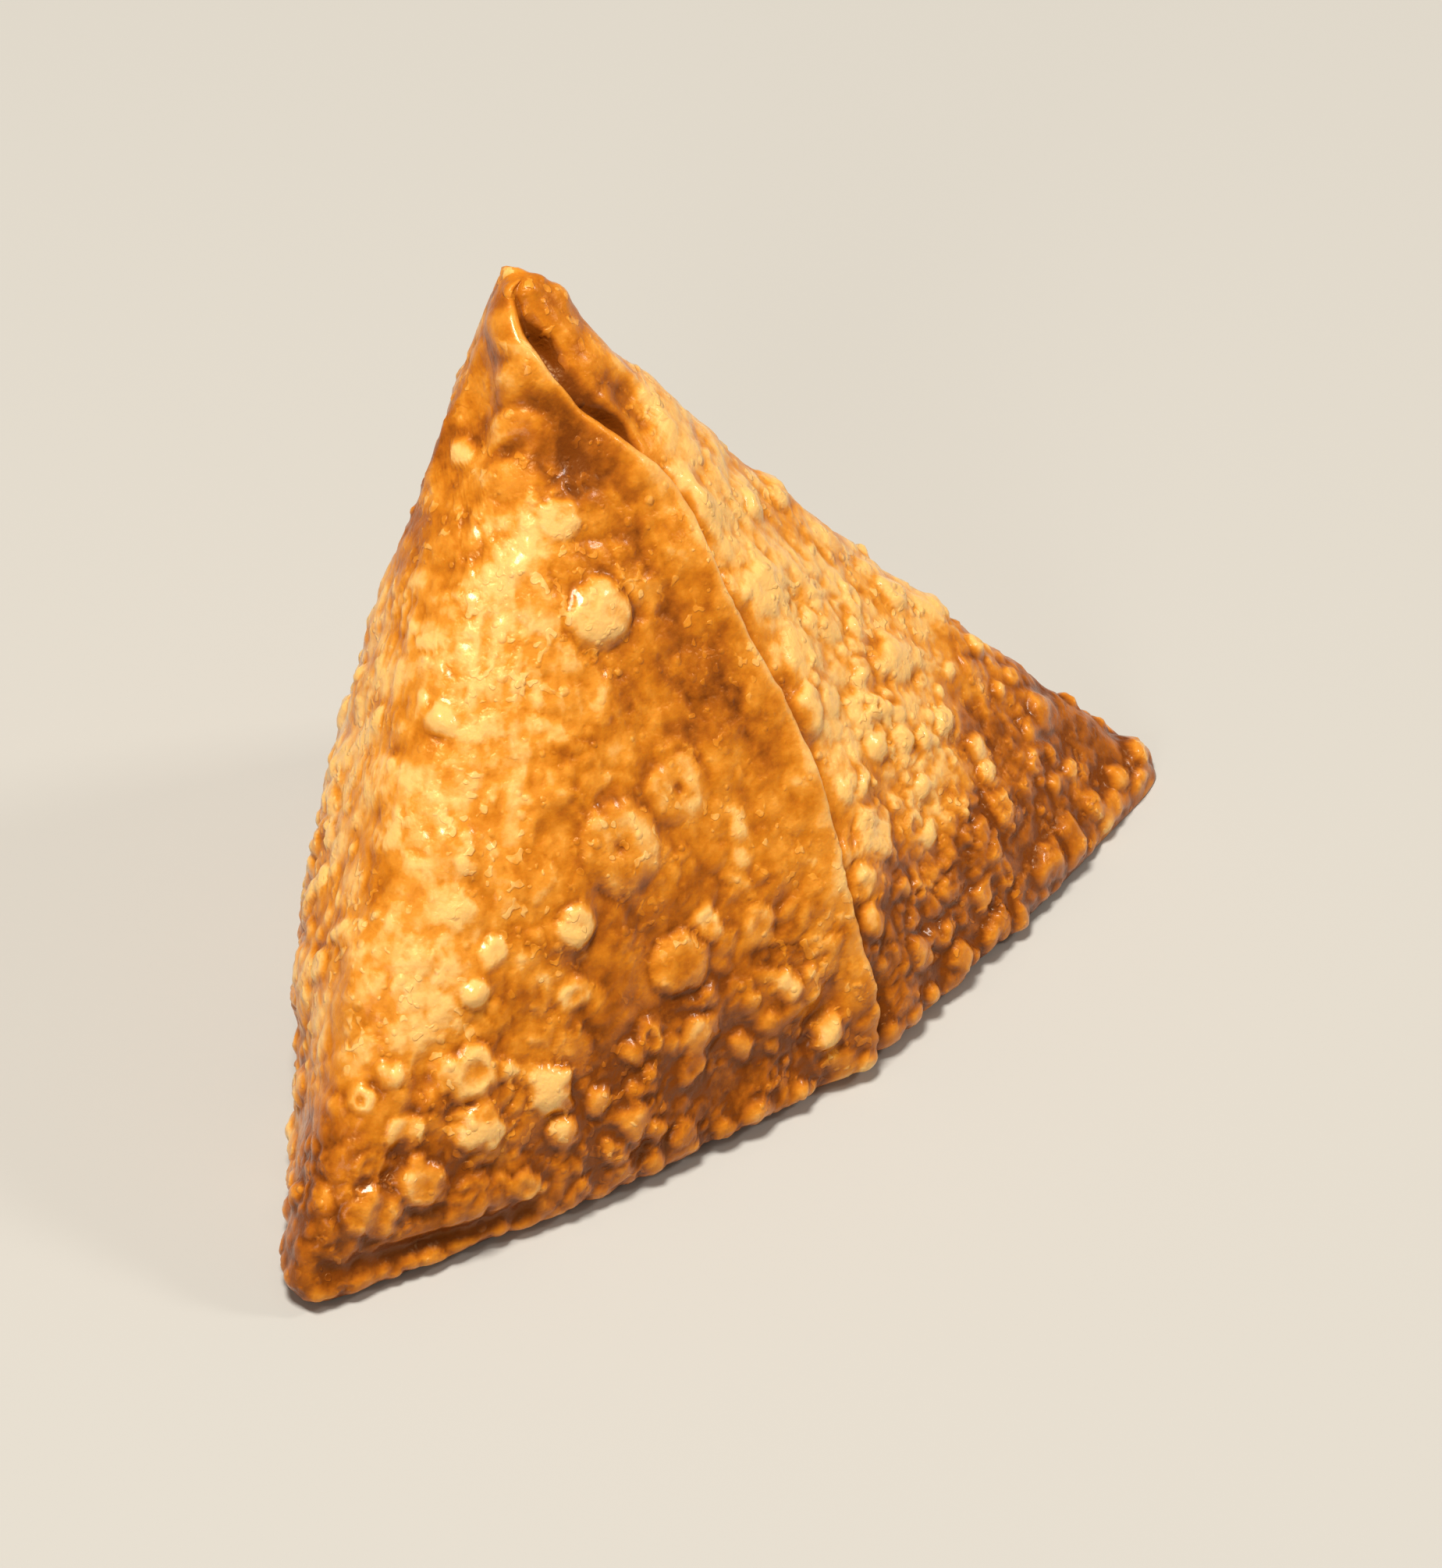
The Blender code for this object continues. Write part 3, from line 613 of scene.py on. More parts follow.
def outward_normals(points, faces):
    """Outward normals at the points, from the triangles round each."""
    corner = points[faces]
    crosses = np.cross(corner[:, 1] - corner[:, 0], corner[:, 2] - corner[:, 0])
    normals = np.zeros_like(points)
    for side in range(3):
        np.add.at(normals, faces[:, side], crosses)
    # The foot pushes outward only, so that the base stays flat
    normals[:, 2] = np.maximum(normals[:, 2], 0.0)
    return normals / np.linalg.norm(normals, axis=1, keepdims=True)


def crust_place(round_share, height):
    """A place on the smooth crust and its outward direction."""
    step = 0.5 * MM
    level = Level(height)
    walk = round_share * level.length
    here, right = level.points(np.array([walk, walk + step]))
    below = Level(height - step)
    up = here - below.points(np.array([round_share * below.length]))[0]
    outward = np.cross(right - here, up)
    return here, outward / np.linalg.norm(outward)


class Blisters:
    """All blisters, in the order in which they were added."""

    def __init__(self):
        self.places = np.empty((0, 3))
        self.outward = np.empty((0, 3))
        self.long_way = np.empty((0, 3))
        self.shape = np.empty((0, 4))
        self.large = np.empty(0, bool)
        self.pale = np.empty(0)

    def add(self, spot, radius, rise, dimple=0.0, stretch=1.0, turn=0.0, gap=None, large=False,
            pale=PLAIN_TOP_HIGHLIGHT):
        """Adds a blister, unless a gap is given and another one lies closer to it than that."""
        place, outward = crust_place(*spot)
        if gap is not None and len(self.places):
            apart = np.linalg.norm(self.places - place, axis=1)
            if not np.all(apart > gap * (self.shape[:, 0] + radius)):
                return
        level_way = np.cross((0, 0, 1.0), outward)
        level_way /= np.linalg.norm(level_way)
        long_way = math.cos(turn) * level_way + math.sin(turn) * np.cross(outward, level_way)
        self.places = np.vstack([self.places, place])
        self.outward = np.vstack([self.outward, outward])
        self.long_way = np.vstack([self.long_way, long_way])
        self.shape = np.vstack([self.shape, (radius, rise, dimple, stretch)])
        self.large = np.append(self.large, large)
        self.pale = np.append(self.pale, pale)


def blister_density(round_share, share):
    """How likely a blister is at a place: thick near the foot, thin on the upper left face."""
    row = next(row for row in BLISTER_DENSITY if round_share <= row[0])
    _, low, high, low_band, high_band = row
    blend = min(max((share - low_band) / (high_band - low_band), 0.0), 1.0)
    return low + (high - low) * blend


def rim_blisters(draw, blisters):
    """The craggy row of bubbles round the foot."""
    count = round(Level(FOOT_ROUND).length / RIM_STEP)
    for index in range(count):
        round_share = (index + draw.uniform(-RIM_JITTER, RIM_JITTER)) / count
        height = draw.uniform(*RIM_HEIGHT)
        radius = draw.uniform(*RIM_RADIUS)
        rise = draw.uniform(*RIM_RISE)
        stretch = draw.uniform(*BLISTER_STRETCH)
        turn = draw.uniform(0, math.pi)
        if LIP_STRETCH[0] < round_share < LIP_STRETCH[1]:
            height *= LIP_SHARE
            radius *= LIP_SHARE
            rise *= LIP_SHARE
        blisters.add((round_share % 1.0, height), radius, rise, stretch=stretch, turn=turn)


def scatter_blisters(draw, sizes, blisters, gap):
    """Blisters at random places, large ones first, that keep clear of those already there."""
    base_length = Level(FOOT_ROUND).length
    for tries, radius, rise in sizes:
        for _ in range(tries):
            round_share = draw.random()
            share = draw.uniform(*BLISTER_HEIGHTS)
            size = radius * draw.uniform(*BLISTER_SIZE_SPREAD)
            lift = rise * draw.uniform(*BLISTER_RISE_SPREAD)
            dimple = draw.choice(BLISTER_DIMPLES)
            stretch = draw.uniform(*BLISTER_STRETCH)
            turn = draw.uniform(0, math.pi)
            chance = draw.random()
            height = share * HEIGHT
            room = Level(height).length / base_length
            if chance <= room * blister_density(round_share, share):
                blisters.add((round_share, height), size, lift, dimple, stretch, turn, gap)


def foot_crags(draw, blisters):
    """Small crags along the foot's lower edge."""
    count = round(Level(FOOT_ROUND).length / FOOT_CRAG_STEP)
    for index in range(count):
        round_share = (index + draw.uniform(-RIM_JITTER, RIM_JITTER)) / count
        height = draw.uniform(*FOOT_CRAG_HEIGHT)
        radius = draw.uniform(*FOOT_CRAG_RADIUS)
        blisters.add((round_share % 1.0, height), radius, draw.uniform(*FOOT_CRAG_RISE))


def all_blisters():
    """The large blisters, the lumps, the rim, and the scattered ones down to the smallest."""
    draw = random.Random(SEED)
    blisters = Blisters()
    for round_share, height, radius, rise, dimple in LARGE_BLISTERS:
        blisters.add((round_share, height * MM), radius * MM, rise * MM, dimple, large=True)
    for round_share, height, radius, rise, dimple in LUMPS:
        blisters.add((round_share, height * MM), radius * MM, rise * MM, dimple, pale=LUMP_TOP_HIGHLIGHT)
    rim_blisters(draw, blisters)
    scatter_blisters(draw, BLISTER_SIZES, blisters, BLISTER_GAP)
    foot_crags(draw, blisters)
    scatter_blisters(draw, SMALL_BLISTER_SIZES, blisters, SMALL_BLISTER_GAP)
    return blisters


def noise_field(points, size, start=0.0):
    """Smooth noise at the points, about -1 to 1."""
    shift = Vector([start * way for way in START_SHIFT])
    return np.array([noise.noise(Vector(point) / size + shift) for point in points])


def blister_relief(points, normals, blisters):
    """How far blisters raise each point, the painted highlight on their tops, and the pits in the
    large ones.
    """
    wavers = sum(noise_field(points, size) * strength for size, strength in BLISTER_WAVERS)
    heights = points[:, 2]
    relief = np.zeros(len(points))
    crown = np.zeros(len(points))
    pits = np.zeros(len(points))
    kinds = zip(blisters.large, blisters.pale)
    rows = zip(blisters.places, blisters.outward, blisters.long_way, blisters.shape, kinds)
    for place, outward, long_way, (radius, rise, dimple, stretch), (large, pale) in rows:
        low = np.searchsorted(heights, place[2] - 2 * radius)
        high = np.searchsorted(heights, place[2] + 2 * radius)
        offset = points[low:high] - place
        offset = offset - np.outer(offset @ long_way * (1 - 1 / stretch), long_way)
        away = np.linalg.norm(offset, axis=1) / radius
        edge, reach, waver = BLISTER_EDGE, DIMPLE_REACH, 1.0
        if large:
            edge, reach, waver = LARGE_EDGE, LARGE_DIMPLE_REACH, LARGE_WAVER
        away = np.clip(away + wavers[low:high] * waver, 0, None)
        near = (away < 1) & (normals[low:high] @ outward > FACING)
        chosen = np.arange(low, high)[near]
        away = away[near]
        inside = 1 - away ** 2
        sunk = dimple * np.clip(1 - (away / reach) ** 2, 0, 1) ** DIMPLE_EDGE
        lift = rise * (inside ** edge - sunk)
        # Tops paled as a painted highlight; on the largest it fades towards the edge as painted
        # shading of a dome
        crowned = inside * min(1.0, rise / TOP_HIGHLIGHT_RISE) * pale
        if large:
            crowned = inside ** LARGE_DOME_SHADING * (1 - sunk) * LARGE_TOP_HIGHLIGHT
        if large and dimple > PITTED_FROM:
            pit = np.exp(-(away / PIT_REACH) ** 2)
            lift = lift - pit * PIT_DEPTH
            pits[chosen] = pit
        before = relief[chosen]
        joint = np.clip(1 - np.abs(before - lift) / BLISTER_JOINT, 0, 1) ** 2 * (before > 0)
        relief[chosen] = np.maximum(before, lift) + joint * BLISTER_JOINT / 4
        crown[chosen] = np.maximum(crown[chosen], crowned)
    return relief, crown, pits


def fold_relief(points, normals):
    """How far the folds raise or sink each point: round ridges and grooves along short lines."""
    relief = np.zeros(len(points))
    for round_a, height_a, round_b, height_b, half_width, rise in FOLDS.values():
        start, outward = crust_place(round_a, height_a * MM)
        end, _ = crust_place(round_b, height_b * MM)
        line = end - start
        along = np.clip((points - start) @ line / (line @ line), 0, 1)
        nearest = start + along[:, None] * line
        away = np.linalg.norm(points - nearest, axis=1) / (half_width * MM)
        near = (away < 1) & (normals @ outward > 0)
        taper = np.sin(np.pi * (FOLD_END + (1 - 2 * FOLD_END) * along[near]))
        relief[near] += rise * MM * taper * (1 - away[near] ** 2) ** FOLD_EDGE
    return relief


def swell_relief(points):
    """Broad swells and smaller dents of the whole crust."""
    swell = noise_field(points, SWELL_SIZE, NOISE_STARTS["swell"])
    return swell * SWELL_RISE + noise_field(points, DENT_SIZE) * DENT_RISE


def patchwork(points, base, patches):
    """A value for each point: the base, and round patches that add to it or take away."""
    value = np.full(len(points), base)
    for round_share, height, reach, strength in patches:
        place, _ = crust_place(round_share, height * MM)
        away = np.linalg.norm(points - place, axis=1) / (reach * MM)
        value += strength * np.exp(-away ** 2)
    return value


def pebbles(points, size):
    """Domes packed side by side like fine bubbles, 0 in their joints and 1 on their tops."""
    warps = [noise_field(points, size * PEBBLE_WARP_SIZE, start) for start in PEBBLE_WARP_STARTS]
    rise = []
    for place in points / size + PEBBLE_WARP * np.stack(warps, axis=1):
        nearest, second = noise.voronoi(place)[0][:2]
        rise.append(min(1.0, (second - nearest) / PEBBLE_JOINT))
    rise = np.array(rise)
    return rise * (2 - rise)


def peeling(points):
    """Where a thin top layer peels off: 1 along its edge, and less behind it."""
    peel = noise_field(points, PEEL_SIZE, NOISE_STARTS["peel"])
    peel = peel + PEEL_RAGGED * noise_field(points, PEEL_RAGGED_SIZE, NOISE_STARTS["peel edge"])
    over = peel - PEEL_FROM
    return np.clip(over / PEEL_EDGE, 0, 1) * np.clip(PEEL_FULL - PEEL_THINNING * over, 0, 1)


def fine_relief(points, rounds):
    """Wrinkles that run down from the tip, pebbly bubbles, peeling layers, soft bumps and grain."""
    around = rounds * Level(FOOT_ROUND).length
    around = around + noise_field(points, WRINKLE_SWAY_SIZE, NOISE_STARTS["sway"]) * WRINKLE_SWAY
    wrinkled = np.clip(patchwork(points, WRINKLED_BASE, WRINKLED), 0, 1)
    relief = np.zeros(len(points))
    for width, length, rise in WRINKLES:
        places = [around / width, points[:, 2] / length, points[:, 0] / length]
        wrinkles = noise_field(np.stack(places, axis=1), 1.0, NOISE_STARTS["wrinkles"])
        relief += wrinkles * wrinkled * rise
    pebbled = patchwork(points, PEBBLED_BASE, PEBBLED)
    for size, rise in PEBBLES:
        patches = noise_field(points, PEBBLE_PATCH_SIZE * size, NOISE_STARTS["pebble patches"])
        clusters = np.clip(pebbled + patches * PEBBLE_PATCHES, 0, 1)
        relief = relief + pebbles(points, size) * clusters * rise
    relief = relief + peeling(points) * PEEL_RISE
    for size, rise in BUMPS:
        relief = relief + np.abs(noise_field(points, size, NOISE_STARTS["bumps"])) * 2 * rise
    return relief + noise_field(points, GRAIN_SIZE, NOISE_STARTS["grain"]) * GRAIN_RISE


def neighbour_mean(values, faces, passes):
    """Values smoothed over the crust by averaging each point with its neighbours."""
    pairs = np.vstack([faces[:, [0, 1]], faces[:, [1, 2]], faces[:, [2, 0]]])
    counts = np.bincount(pairs.ravel(), minlength=len(values)).astype(float)
    for _ in range(passes):
        total = np.bincount(pairs[:, 0], weights=values[pairs[:, 1]], minlength=len(values))
        total += np.bincount(pairs[:, 1], weights=values[pairs[:, 0]], minlength=len(values))
        values = (values + total / counts) / 2
    return values


def standing_out(values, faces, passes, most):
    """How far each point stands out of what is round it: 0.5 is level with it, 1 is a crest."""
    out = (values - neighbour_mean(values, faces, passes)) / most
    return np.clip(out, -1, 1) * 0.5 + 0.5


def fit_in_box(points, box):
    """The points scaled and moved so that they just fill the solid's own box."""
    low, high = (np.array(corner) for corner in box)
    own_low = points.min(axis=0)
    own_high = points.max(axis=0)
    return low + (points - own_low) * (high - low) / (own_high - own_low)


def relieved_crust():
    """The dressed crust: points, triangles and what its colour is worked out from."""
    crust = smooth_crust(CRUST_SPACING)
    points = crust["plain"] = crust["points"]
    faces = crust["faces"]
    lifts = crust["lift"]
    normals = outward_normals(points, faces)
    domes, crown, pits = blister_relief(points, normals, all_blisters())
    calm = 1 - LAP_CALM * np.clip(np.abs(lifts) / MM, 0, 1)
    near_tip = np.clip((points[:, 2] - SMOOTH_FROM) / SMOOTH_OVER, 0, 1)
    fineness = (1 - FINE_CALM * crown) * (1 - TIP_CALM * near_tip)
    relief = domes + swell_relief(points) + fold_relief(points, normals)
    relief = (relief + fine_relief(points, crust["round"]) * fineness) * calm
    relief = relief * np.clip(points[:, 2] / FOOT_FADE, 0, 1)
    total = relief + lifts
    points = points + crust["shift"] + normals * total[:, None]
    points[crust["base"], 2] = 0.0
    points[:, 2] = np.maximum(points[:, 2], 0.0)
    crust["points"] = fit_in_box(points, CAD_BOX)
    crust["crown"] = crown
    # The pits, which the finish darkens as painted shade
    crust["pits"] = pits
    # How far each point stands above or below what is round it, for painted light on crests and
    # painted shade in hollows
    crust["crest"] = standing_out(total, faces, *CREST)
    crust["broad_crest"] = standing_out(total, faces, *BROAD_CREST)
    # A painted highlight along the lap's raised rim
    rise = np.clip(lifts / LAP_RIM_RISE, 0, 1)
    crust["lap_rim"] = np.exp(-((crust["across"] - LAP_RIM_AT) / LAP_RIM_WIDTH) ** 2) * rise
    # Painted shade in the groove under the lap
    crust["gap"] = np.clip(-lifts / GAP_SHADE_DEPTH, 0, 1)
    return crust


# What the finish reads at the crust's points, and what stands there for the middle of the base
LOOKS = ("browning", "crown", "pits", "crest", "broad_crest", "lap_rim", "gap")
BASE_LOOK = 0.5
# Crests, paled as painted light while hollows are browned as painted shade: how many times the crust
# is evened out to find them, and from how far out they are full
CREST = (12, 0.22 * MM)
BROAD_CREST = (80, 0.55 * MM)
# The lap's rim, paled as a painted highlight along its edge: its place across the lap and its
# half-width in mm, and the rise where it is full
LAP_RIM_AT = 0.22
LAP_RIM_WIDTH = 0.3
LAP_RIM_RISE = 0.75 * MM
# How deep the groove beside the lap is where its painted shade is darkest
GAP_SHADE_DEPTH = 1.2 * MM

# Browning, with painted shade added low down and a painted sheen on the left face: share of the way
# round, height in mm, reach in mm, strength (negative is paler)
BROWNED_BASE = 0.45
BROWNED_MOTTLES = ((7.0 * MM, 0.34), (2.6 * MM, 0.36), (1.2 * MM, 0.20))
BROWNED_AND_SHADED = (
    (0.965, 40.0, 6.0, 0.26),
    (0.975, 33.0, 6.0, 0.26),
    (0.985, 26.0, 5.5, 0.22),
    (0.93, 30.5, 6.0, 0.14),
    (0.92, 49.5, 4.5, 0.75),
    (0.88, 47.5, 4.5, 0.6),
    (0.80, 47.0, 4.5, -0.3),
    (0.74, 50.0, 6.0, -0.2),
    (0.88, 54.5, 3.5, 0.2),
    (0.855, 50.0, 4.0, 0.25),
    (0.86, 17.5, 9.0, 0.3),
    # Low down: browner from frying, and darker still as painted shade where the foot lies in shadow
    (0.93, 10.0, 8.0, 0.4),
    (0.82, 4.0, 8.0, 0.45),
    (0.90, 3.0, 8.0, 0.85),
    (0.96, 3.0, 7.0, 0.45),
    (0.17, 6.0, 9.0, 0.5),
    (0.10, 4.0, 8.0, 0.9),
    (0.03, 6.0, 7.0, 0.7),
    (0.20, 10.0, 7.0, 0.3),
    (0.885, 33.0, 9.0, 0.12),
    # Mostly paler over the middle of the left face: paler dough with a painted sheen on it
    (0.80, 33.0, 8.0, -0.26),
    (0.835, 29.0, 3.5, 0.15),
    (0.82, 41.0, 6.5, -0.24),
    (0.79, 22.0, 8.0, -0.3),
    # The left corner of the foot: browning, deepened as painted shade
    (0.77, 4.0, 9.0, 0.65),
    (0.06, 33.0, 9.0, -0.5),
    (0.07, 43.0, 8.0, -0.4),
    (0.12, 22.0, 10.0, -0.42),
    # Small paler and darker patches low on the right face; the darker ones are partly painted shadow
    # among its crags
    (0.07, 12.5, 3.5, -0.4),
    (0.12, 10.0, 3.0, -0.4),
    (0.16, 9.0, 3.0, -0.3),
    (0.03, 10.5, 3.5, 0.35),
    (0.09, 7.5, 3.5, 0.4),
    (0.14, 14.5, 3.5, 0.3),
    (0.05, 17.0, 3.0, 0.3),
    (0.09, 25.0, 4.0, 0.25),
    (0.05, 20.0, 7.0, -0.35),
    (0.48, 8.0, 9.0, 0.5),
    (0.35, 5.0, 9.0, 0.4),
    (0.62, 5.0, 9.0, 0.4),
    (0.35, 30.0, 11.0, -0.4),
    (0.62, 28.0, 11.0, -0.35),
    (0.55, 44.0, 7.0, 0.4),
)


def browning(points):
    """How browned each point is, from 0, pale dough, to 1, with painted shade at the foot and a
    painted sheen on the left face in it.
    """
    brown_and_shade = patchwork(points, BROWNED_BASE, BROWNED_AND_SHADED)
    for size, strength in BROWNED_MOTTLES:
        brown_and_shade += noise_field(points, size, NOISE_STARTS["browning"]) * strength
    return np.clip(brown_and_shade, 0, 1)


def make_crust():
    """The crust as one mesh piece that stands for the solid."""
    crust = relieved_crust()
    crust["browning"] = browning(crust["plain"])
    data = bpy.data.meshes.new("samosa_crust")
    faces = crust["faces"].tolist()
    base = list(reversed(crust["base"]))
    middle = len(crust["points"])
    centre = crust["points"][crust["base"]].mean(axis=0)
    for index, number in enumerate(base):
        faces.append((number, base[(index + 1) % len(base)], middle))
    data.from_pydata(np.vstack([crust["points"], centre]).tolist(), [], faces)
    data.shade_smooth()
    for name in LOOKS:
        layer = data.attributes.new(name, "FLOAT", "POINT")
        layer.data.foreach_set("value", np.append(crust[name], BASE_LOOK).astype(np.float32))
    piece = bpy.data.objects.new("samosa_crust", data)
    bpy.context.scene.collection.objects.link(piece)
    return piece


class Wire:
    """A socket of a shader's node, with which sums and products read as plain arithmetic."""

    def __init__(self, finish, socket):
        self.finish = finish
        self.socket = socket

    def _math(self, operation, first, second):
        return self.finish.node("ShaderNodeMath", {"operation": operation}, {0: first, 1: second})

    def __add__(self, other):
        return self._math("ADD", self, other)

    def __radd__(self, other):
        return self._math("ADD", other, self)

    def __sub__(self, other):
        return self._math("SUBTRACT", self, other)

    def __rsub__(self, other):
        return self._math("SUBTRACT", other, self)

    def __mul__(self, other):
        return self._math("MULTIPLY", self, other)

    def __rmul__(self, other):
        return self._math("MULTIPLY", other, self)

    def __truediv__(self, other):
        return self._math("DIVIDE", self, other)

    def clamp(self, high=1.0):
        return self.finish.node("ShaderNodeClamp", {}, {"Value": self, "Min": 0.0, "Max": high})

    def step(self, start, end):
        """0 below start, 1 above end, smooth between."""
        settings = {"interpolation_type": "SMOOTHSTEP"}
        sockets = {"Value": self, "From Min": start, "From Max": end}
        return self.finish.node("ShaderNodeMapRange", settings, sockets)


class Finish:
    """A material whose shader is written as expressions on its sockets."""

    def __init__(self, name, **constants):
        self.material = bpy.data.materials.new(name)
        self.material.use_nodes = True
        self.tree = self.material.node_tree
        self.shader = self.tree.nodes["Principled BSDF"]
        for socket, value in constants.items():
            self.shader.inputs[socket.replace("_", " ")].default_value = value

    def node(self, kind, settings, sockets, output=0):
        """Adds a node: its settings first, then its sockets' values or links."""
        new = self.tree.nodes.new(kind)
        for name, value in settings.items():
            if name == "stops":
                self._stops(new.color_ramp, value)
            else:
                setattr(new, name, value)
        for name, value in sockets.items():
            self.feed(new.inputs[name], value)
        return Wire(self, new.outputs[output])

    def _stops(self, ramp, stops):
        while len(ramp.elements) < len(stops):
            ramp.elements.new(0.5)
        for element, (place, colour) in zip(ramp.elements, stops):
            element.position = place
            element.color = colour

    def feed(self, socket, value):
        """Links a socket to another, or gives it a value."""
        if isinstance(value, Wire):
            self.tree.links.new(value.socket, socket)
        else:
            socket.default_value = value

    def painted(self, name):
        """A value kept at the mesh's points."""
        return self.node("ShaderNodeAttribute", {"attribute_name": name}, {}, output="Fac")

    def place(self):
        """Where on the object the shader is asked for."""
        return self.node("ShaderNodeTexCoord", {}, {}, output="Object")

    def grain(self, size, detail, roughness):
        """Noise with features of this size in metres, 0 to 1."""
        sockets = {"Vector": self.place(), "Scale": 1.0 / size}
        sockets.update(Detail=detail, Roughness=roughness)
        return self.node("ShaderNodeTexNoise", {}, sockets)

    def patches(self, size, start, end):
        """Soft patches of about this size in metres, 1 inside and 0 outside."""
        return self.grain(size, *PATCH_GRAIN).step(start, end)

    def beads(self, size, reach):
        """Tiny round domes, one to a cell of this size in metres, 0 beside them and 1 on top."""
        sockets = {"Vector": self.place(), "Scale": 1.0 / size}
        away = self.node("ShaderNodeTexVoronoi", {}, sockets) / reach
        return (1 - away * away).clamp()

    def finish(self, **sockets):
        """Feeds the shader's own sockets and gives the material."""
        for name, value in sockets.items():
            self.feed(self.shader.inputs[name.replace("_", " ")], value)
        return self.material


# Pale dough, raised a little to serve also as the colour of painted sheen and highlights
PALE_DOUGH_AND_HIGHLIGHT = (0.88, 0.50, 0.150, 1.0)
GOLD = (0.74, 0.275, 0.026, 1.0)
AMBER = (0.58, 0.178, 0.008, 1.0)
BROWN = (0.40, 0.103, 0.005, 1.0)
DARK_BROWN = (0.18, 0.039, 0.002, 1.0)
WARM_SHEEN = (1.0, 0.66, 0.30, 1.0)
# The crust's colour at each share of the browning and of the painted light and shade
BROWNING_AND_SHADING_STOPS = (
    (0.0, PALE_DOUGH_AND_HIGHLIGHT),
    (0.27, GOLD),
    (0.48, AMBER),
    (0.69, BROWN),
    (0.95, DARK_BROWN),
)
# Noises of the finish: size, detail and roughness
GRAINS = {
    "mottle": (1.6 * MM, 4.0, 0.6),
    "specks": (0.45 * MM, 2.0, 0.5),
    "fine": (0.55 * MM, 3.0, 0.6),
    "pimples": (1.1 * MM, 2.0, 0.5),
    "oil": (5.0 * MM, 2.0, 0.5),
    "scales": (1.0 * MM, 1.0, 0.5),
    "flakes": (2.4 * MM, 3.0, 0.6),
}
# Between which values of their noise these three set in
EDGES = {"oil": (0.3, 0.6), "scales": (0.60, 0.66), "flakes": (0.50, 0.60)}
# Patches that the fine forms keep to: size, and between which values of the noise they set in
PATCHES = {
    "scales": (7.0 * MM, 0.46, 0.60),
    "flakes": (9.0 * MM, 0.44, 0.56),
    "beads": (3.5 * MM, 0.52, 0.62),
    "small beads": (3.0 * MM, 0.56, 0.64),
}
PATCH_GRAIN = (2.0, 0.5)
# Beads: the size of their cells, and their radius as a share of it
BEADS = (1.7 * MM, 0.28)
SMALL_BEADS = (1.0 * MM, 0.30)
SMALL_BEAD_SHARE = 0.7
# How high each form stands in the bump
HEIGHTS = {"fine": 0.35, "pimples": 0.4, "scales": 0.35, "beads": 0.8, "flakes": 0.2}
# How strongly each look browns the crust or pales it; height, beads, crests, crowns, pits, rim and
# gap do it as painted light and shade, mottle, scales and flakes as the crust's own colour
TONES = {
    "mottle": 0.65,
    "height": 0.5,
    "scales": 0.1,
    "flakes": 0.09,
    "beads": 0.2,
    "crest": 0.6,
    "broad crest": 0.5,
    "crown": 0.42,
    "pits": 0.35,
    "rim": 0.6,
    "whole": 0.8,
    "gap": 0.4,
}
# Roughness of oily crust, and what dry crust and specks add to it
ROUGHNESS = {"oily": 0.22, "dry": 0.20, "specks": 0.10}
# Shares of the clear oily coat, and the most that there is of it
COAT = {"oil": 0.42, "crown": 0.5, "beads": 0.2, "most": 0.8}


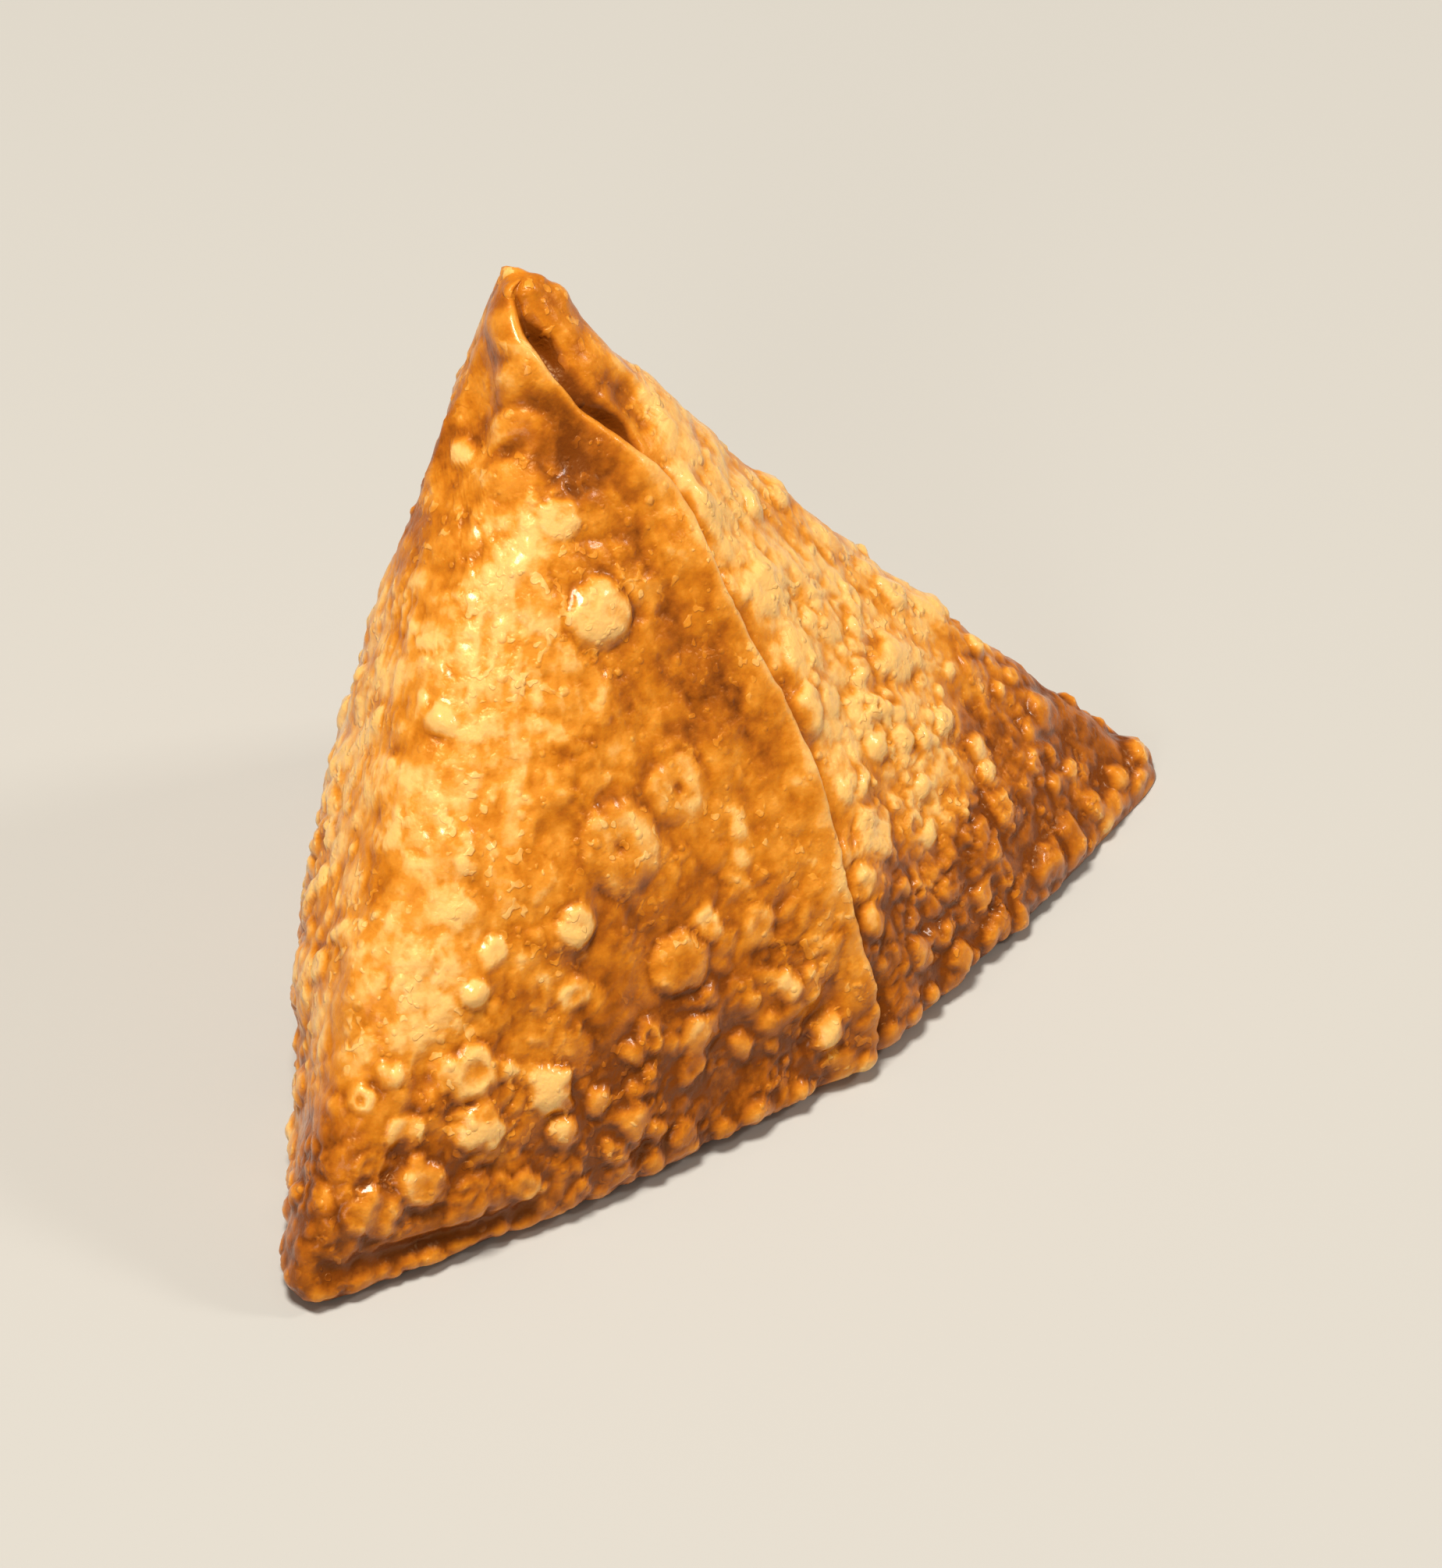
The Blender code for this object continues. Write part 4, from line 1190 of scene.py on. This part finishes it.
def crust_finish():
    """Fried dough under a thin oily coat: brown at the foot, partly as painted shade, and in grooves
    as painted shade, pale on bubbles as painted highlights.
    """
    finish = Finish(
        "fried crust",
        IOR=1.40,
        Coat_Roughness=0.12,
        Coat_IOR=1.38,
        Specular_Tint=WARM_SHEEN,
        Subsurface_Weight=0.2,
        Subsurface_Radius=(1.0, 0.45, 0.15),
        Subsurface_Scale=1.2 * MM,
    )
    brown_and_shade, crown, pits, crest, broad, rim, gap = (finish.painted(name) for name in LOOKS)
    grains = {name: finish.grain(*values) for name, values in GRAINS.items()}
    oil = grains["oil"]
    scales = grains["scales"].step(*EDGES["scales"]) * finish.patches(*PATCHES["scales"])
    flakes = grains["flakes"].step(*EDGES["flakes"]) * finish.patches(*PATCHES["flakes"])
    beads = finish.beads(*BEADS) * finish.patches(*PATCHES["beads"])
    small_beads = finish.beads(*SMALL_BEADS) * finish.patches(*PATCHES["small beads"])
    beads = beads + small_beads * SMALL_BEAD_SHARE
    height = grains["fine"] * HEIGHTS["fine"] + grains["pimples"] * HEIGHTS["pimples"]
    height = height + scales * HEIGHTS["scales"]
    relief = height + beads * HEIGHTS["beads"] + flakes * HEIGHTS["flakes"]
    # Browning, a random mottle of the crust's own colour, and the fine bump paler on its raised
    # parts and browner in its low ones as painted light and shade
    tone = brown_and_shade + (grains["mottle"] - 0.5) * TONES["mottle"] - (height - 0.5) * TONES["height"]
    # Beads paled as painted highlights on them; scales and flakes are paler peeled layers
    tone = tone - scales * TONES["scales"] - flakes * TONES["flakes"] - beads * TONES["beads"]
    # Paler on crests and browner in hollows: painted light and shade
    tone = tone - (crest - 0.5) * TONES["crest"] - (broad - 0.5) * TONES["broad crest"]
    # Blister tops paled as a painted highlight, and the pits darkened as painted shade
    tone = tone - crown * TONES["crown"] + pits * TONES["pits"]
    # The lap's rim paled as a painted highlight, and the groove beside it darkened as painted shade
    tone = tone * (1 - rim * TONES["rim"]) * TONES["whole"] + gap * TONES["gap"]
    ramp = {"stops": BROWNING_AND_SHADING_STOPS}
    colour = finish.node("ShaderNodeValToRGB", ramp, {"Fac": tone.clamp()})
    rough = ROUGHNESS["oily"] + (1 - oil) * ROUGHNESS["dry"]
    rough = rough + (grains["specks"] - 0.5) * ROUGHNESS["specks"]
    coat = oil.step(*EDGES["oil"]) * COAT["oil"] + crown * COAT["crown"] + beads * COAT["beads"]
    sockets = {"Strength": 0.8, "Distance": 0.22 * MM, "Height": relief}
    bump = finish.node("ShaderNodeBump", {}, sockets)
    return finish.finish(
        Base_Color=colour,
        Roughness=rough.clamp(),
        Coat_Weight=coat.clamp(COAT["most"]),
        Normal=bump,
    )


# Stage
FLOOR_COLOUR = (0.48, 0.46, 0.425, 1.0)
FLOOR_SIZE = 6.0
WORLD_COLOUR = (1.0, 0.91, 0.78, 1.0)
WORLD_STRENGTH = 0.20
# Lights: place and size in metres, power in watts, colour
LIGHTS = {
    "overhead light": ((-0.20, -0.02, 1.20), 0.30, 18.5, (1.0, 0.97, 0.91)),
    "side light": ((-0.95, -0.60, 0.68), 0.40, 2.0, (1.0, 0.97, 0.91)),
    "right light": ((0.78, -0.52, 0.77), 0.17, 3.2, (1.0, 0.97, 0.91)),
}
# Camera: from the samosa's middle, in the photograph's direction
CAMERA_PLACE = (-620.0 * MM, -748.5 * MM, 893.0 * MM)
CAMERA_AIM = (3.8 * MM, -9.5 * MM, 20.0 * MM)
CAMERA_LENS = 385.0
SENSOR = 36.0
CAMERA_SIGHT = 20.0


def make_stage():
    """A pale floor and an even, warm light from all round."""
    data = bpy.data.meshes.new("floor")
    half = FLOOR_SIZE / 2
    corners = [(-half, -half, 0), (half, -half, 0), (half, half, 0), (-half, half, 0)]
    data.from_pydata(corners, [], [(0, 1, 2, 3)])
    floor = bpy.data.objects.new("floor", data)
    bpy.context.scene.collection.objects.link(floor)
    pale = Finish("pale floor", Roughness=0.75)
    data.materials.append(pale.finish(Base_Color=FLOOR_COLOUR))
    world = bpy.data.worlds.new("studio")
    world.use_nodes = True
    sky = world.node_tree.nodes["Background"]
    sky.inputs["Color"].default_value = WORLD_COLOUR
    sky.inputs["Strength"].default_value = WORLD_STRENGTH
    bpy.context.scene.world = world
    bpy.context.scene.view_settings.view_transform = "Standard"


def aim_at_samosa(thing, place):
    """Puts a light or the camera in its place, so that it looks at the samosa."""
    thing.location = place
    ahead = Vector(CAMERA_AIM) - Vector(place)
    thing.rotation_euler = ahead.to_track_quat("-Z", "Y").to_euler()
    bpy.context.scene.collection.objects.link(thing)


def make_lights():
    """Three soft lights."""
    for name, (place, size, power, colour) in LIGHTS.items():
        light = bpy.data.lights.new(name, "AREA")
        light.size = size
        light.energy = power
        light.color = colour
        aim_at_samosa(bpy.data.objects.new(name, light), place)


def make_camera():
    """The camera that the main render looks through."""
    data = bpy.data.cameras.new("camera")
    data.lens = CAMERA_LENS
    data.sensor_width = SENSOR
    data.clip_end = CAMERA_SIGHT
    camera = bpy.data.objects.new("camera", data)
    aim_at_samosa(camera, CAMERA_PLACE)
    bpy.context.scene.camera = camera


crust_piece = make_crust()
crust_piece.data.materials.append(crust_finish())
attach(crust_piece, "root")
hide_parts("samosa")
make_stage()
make_lights()
make_camera()
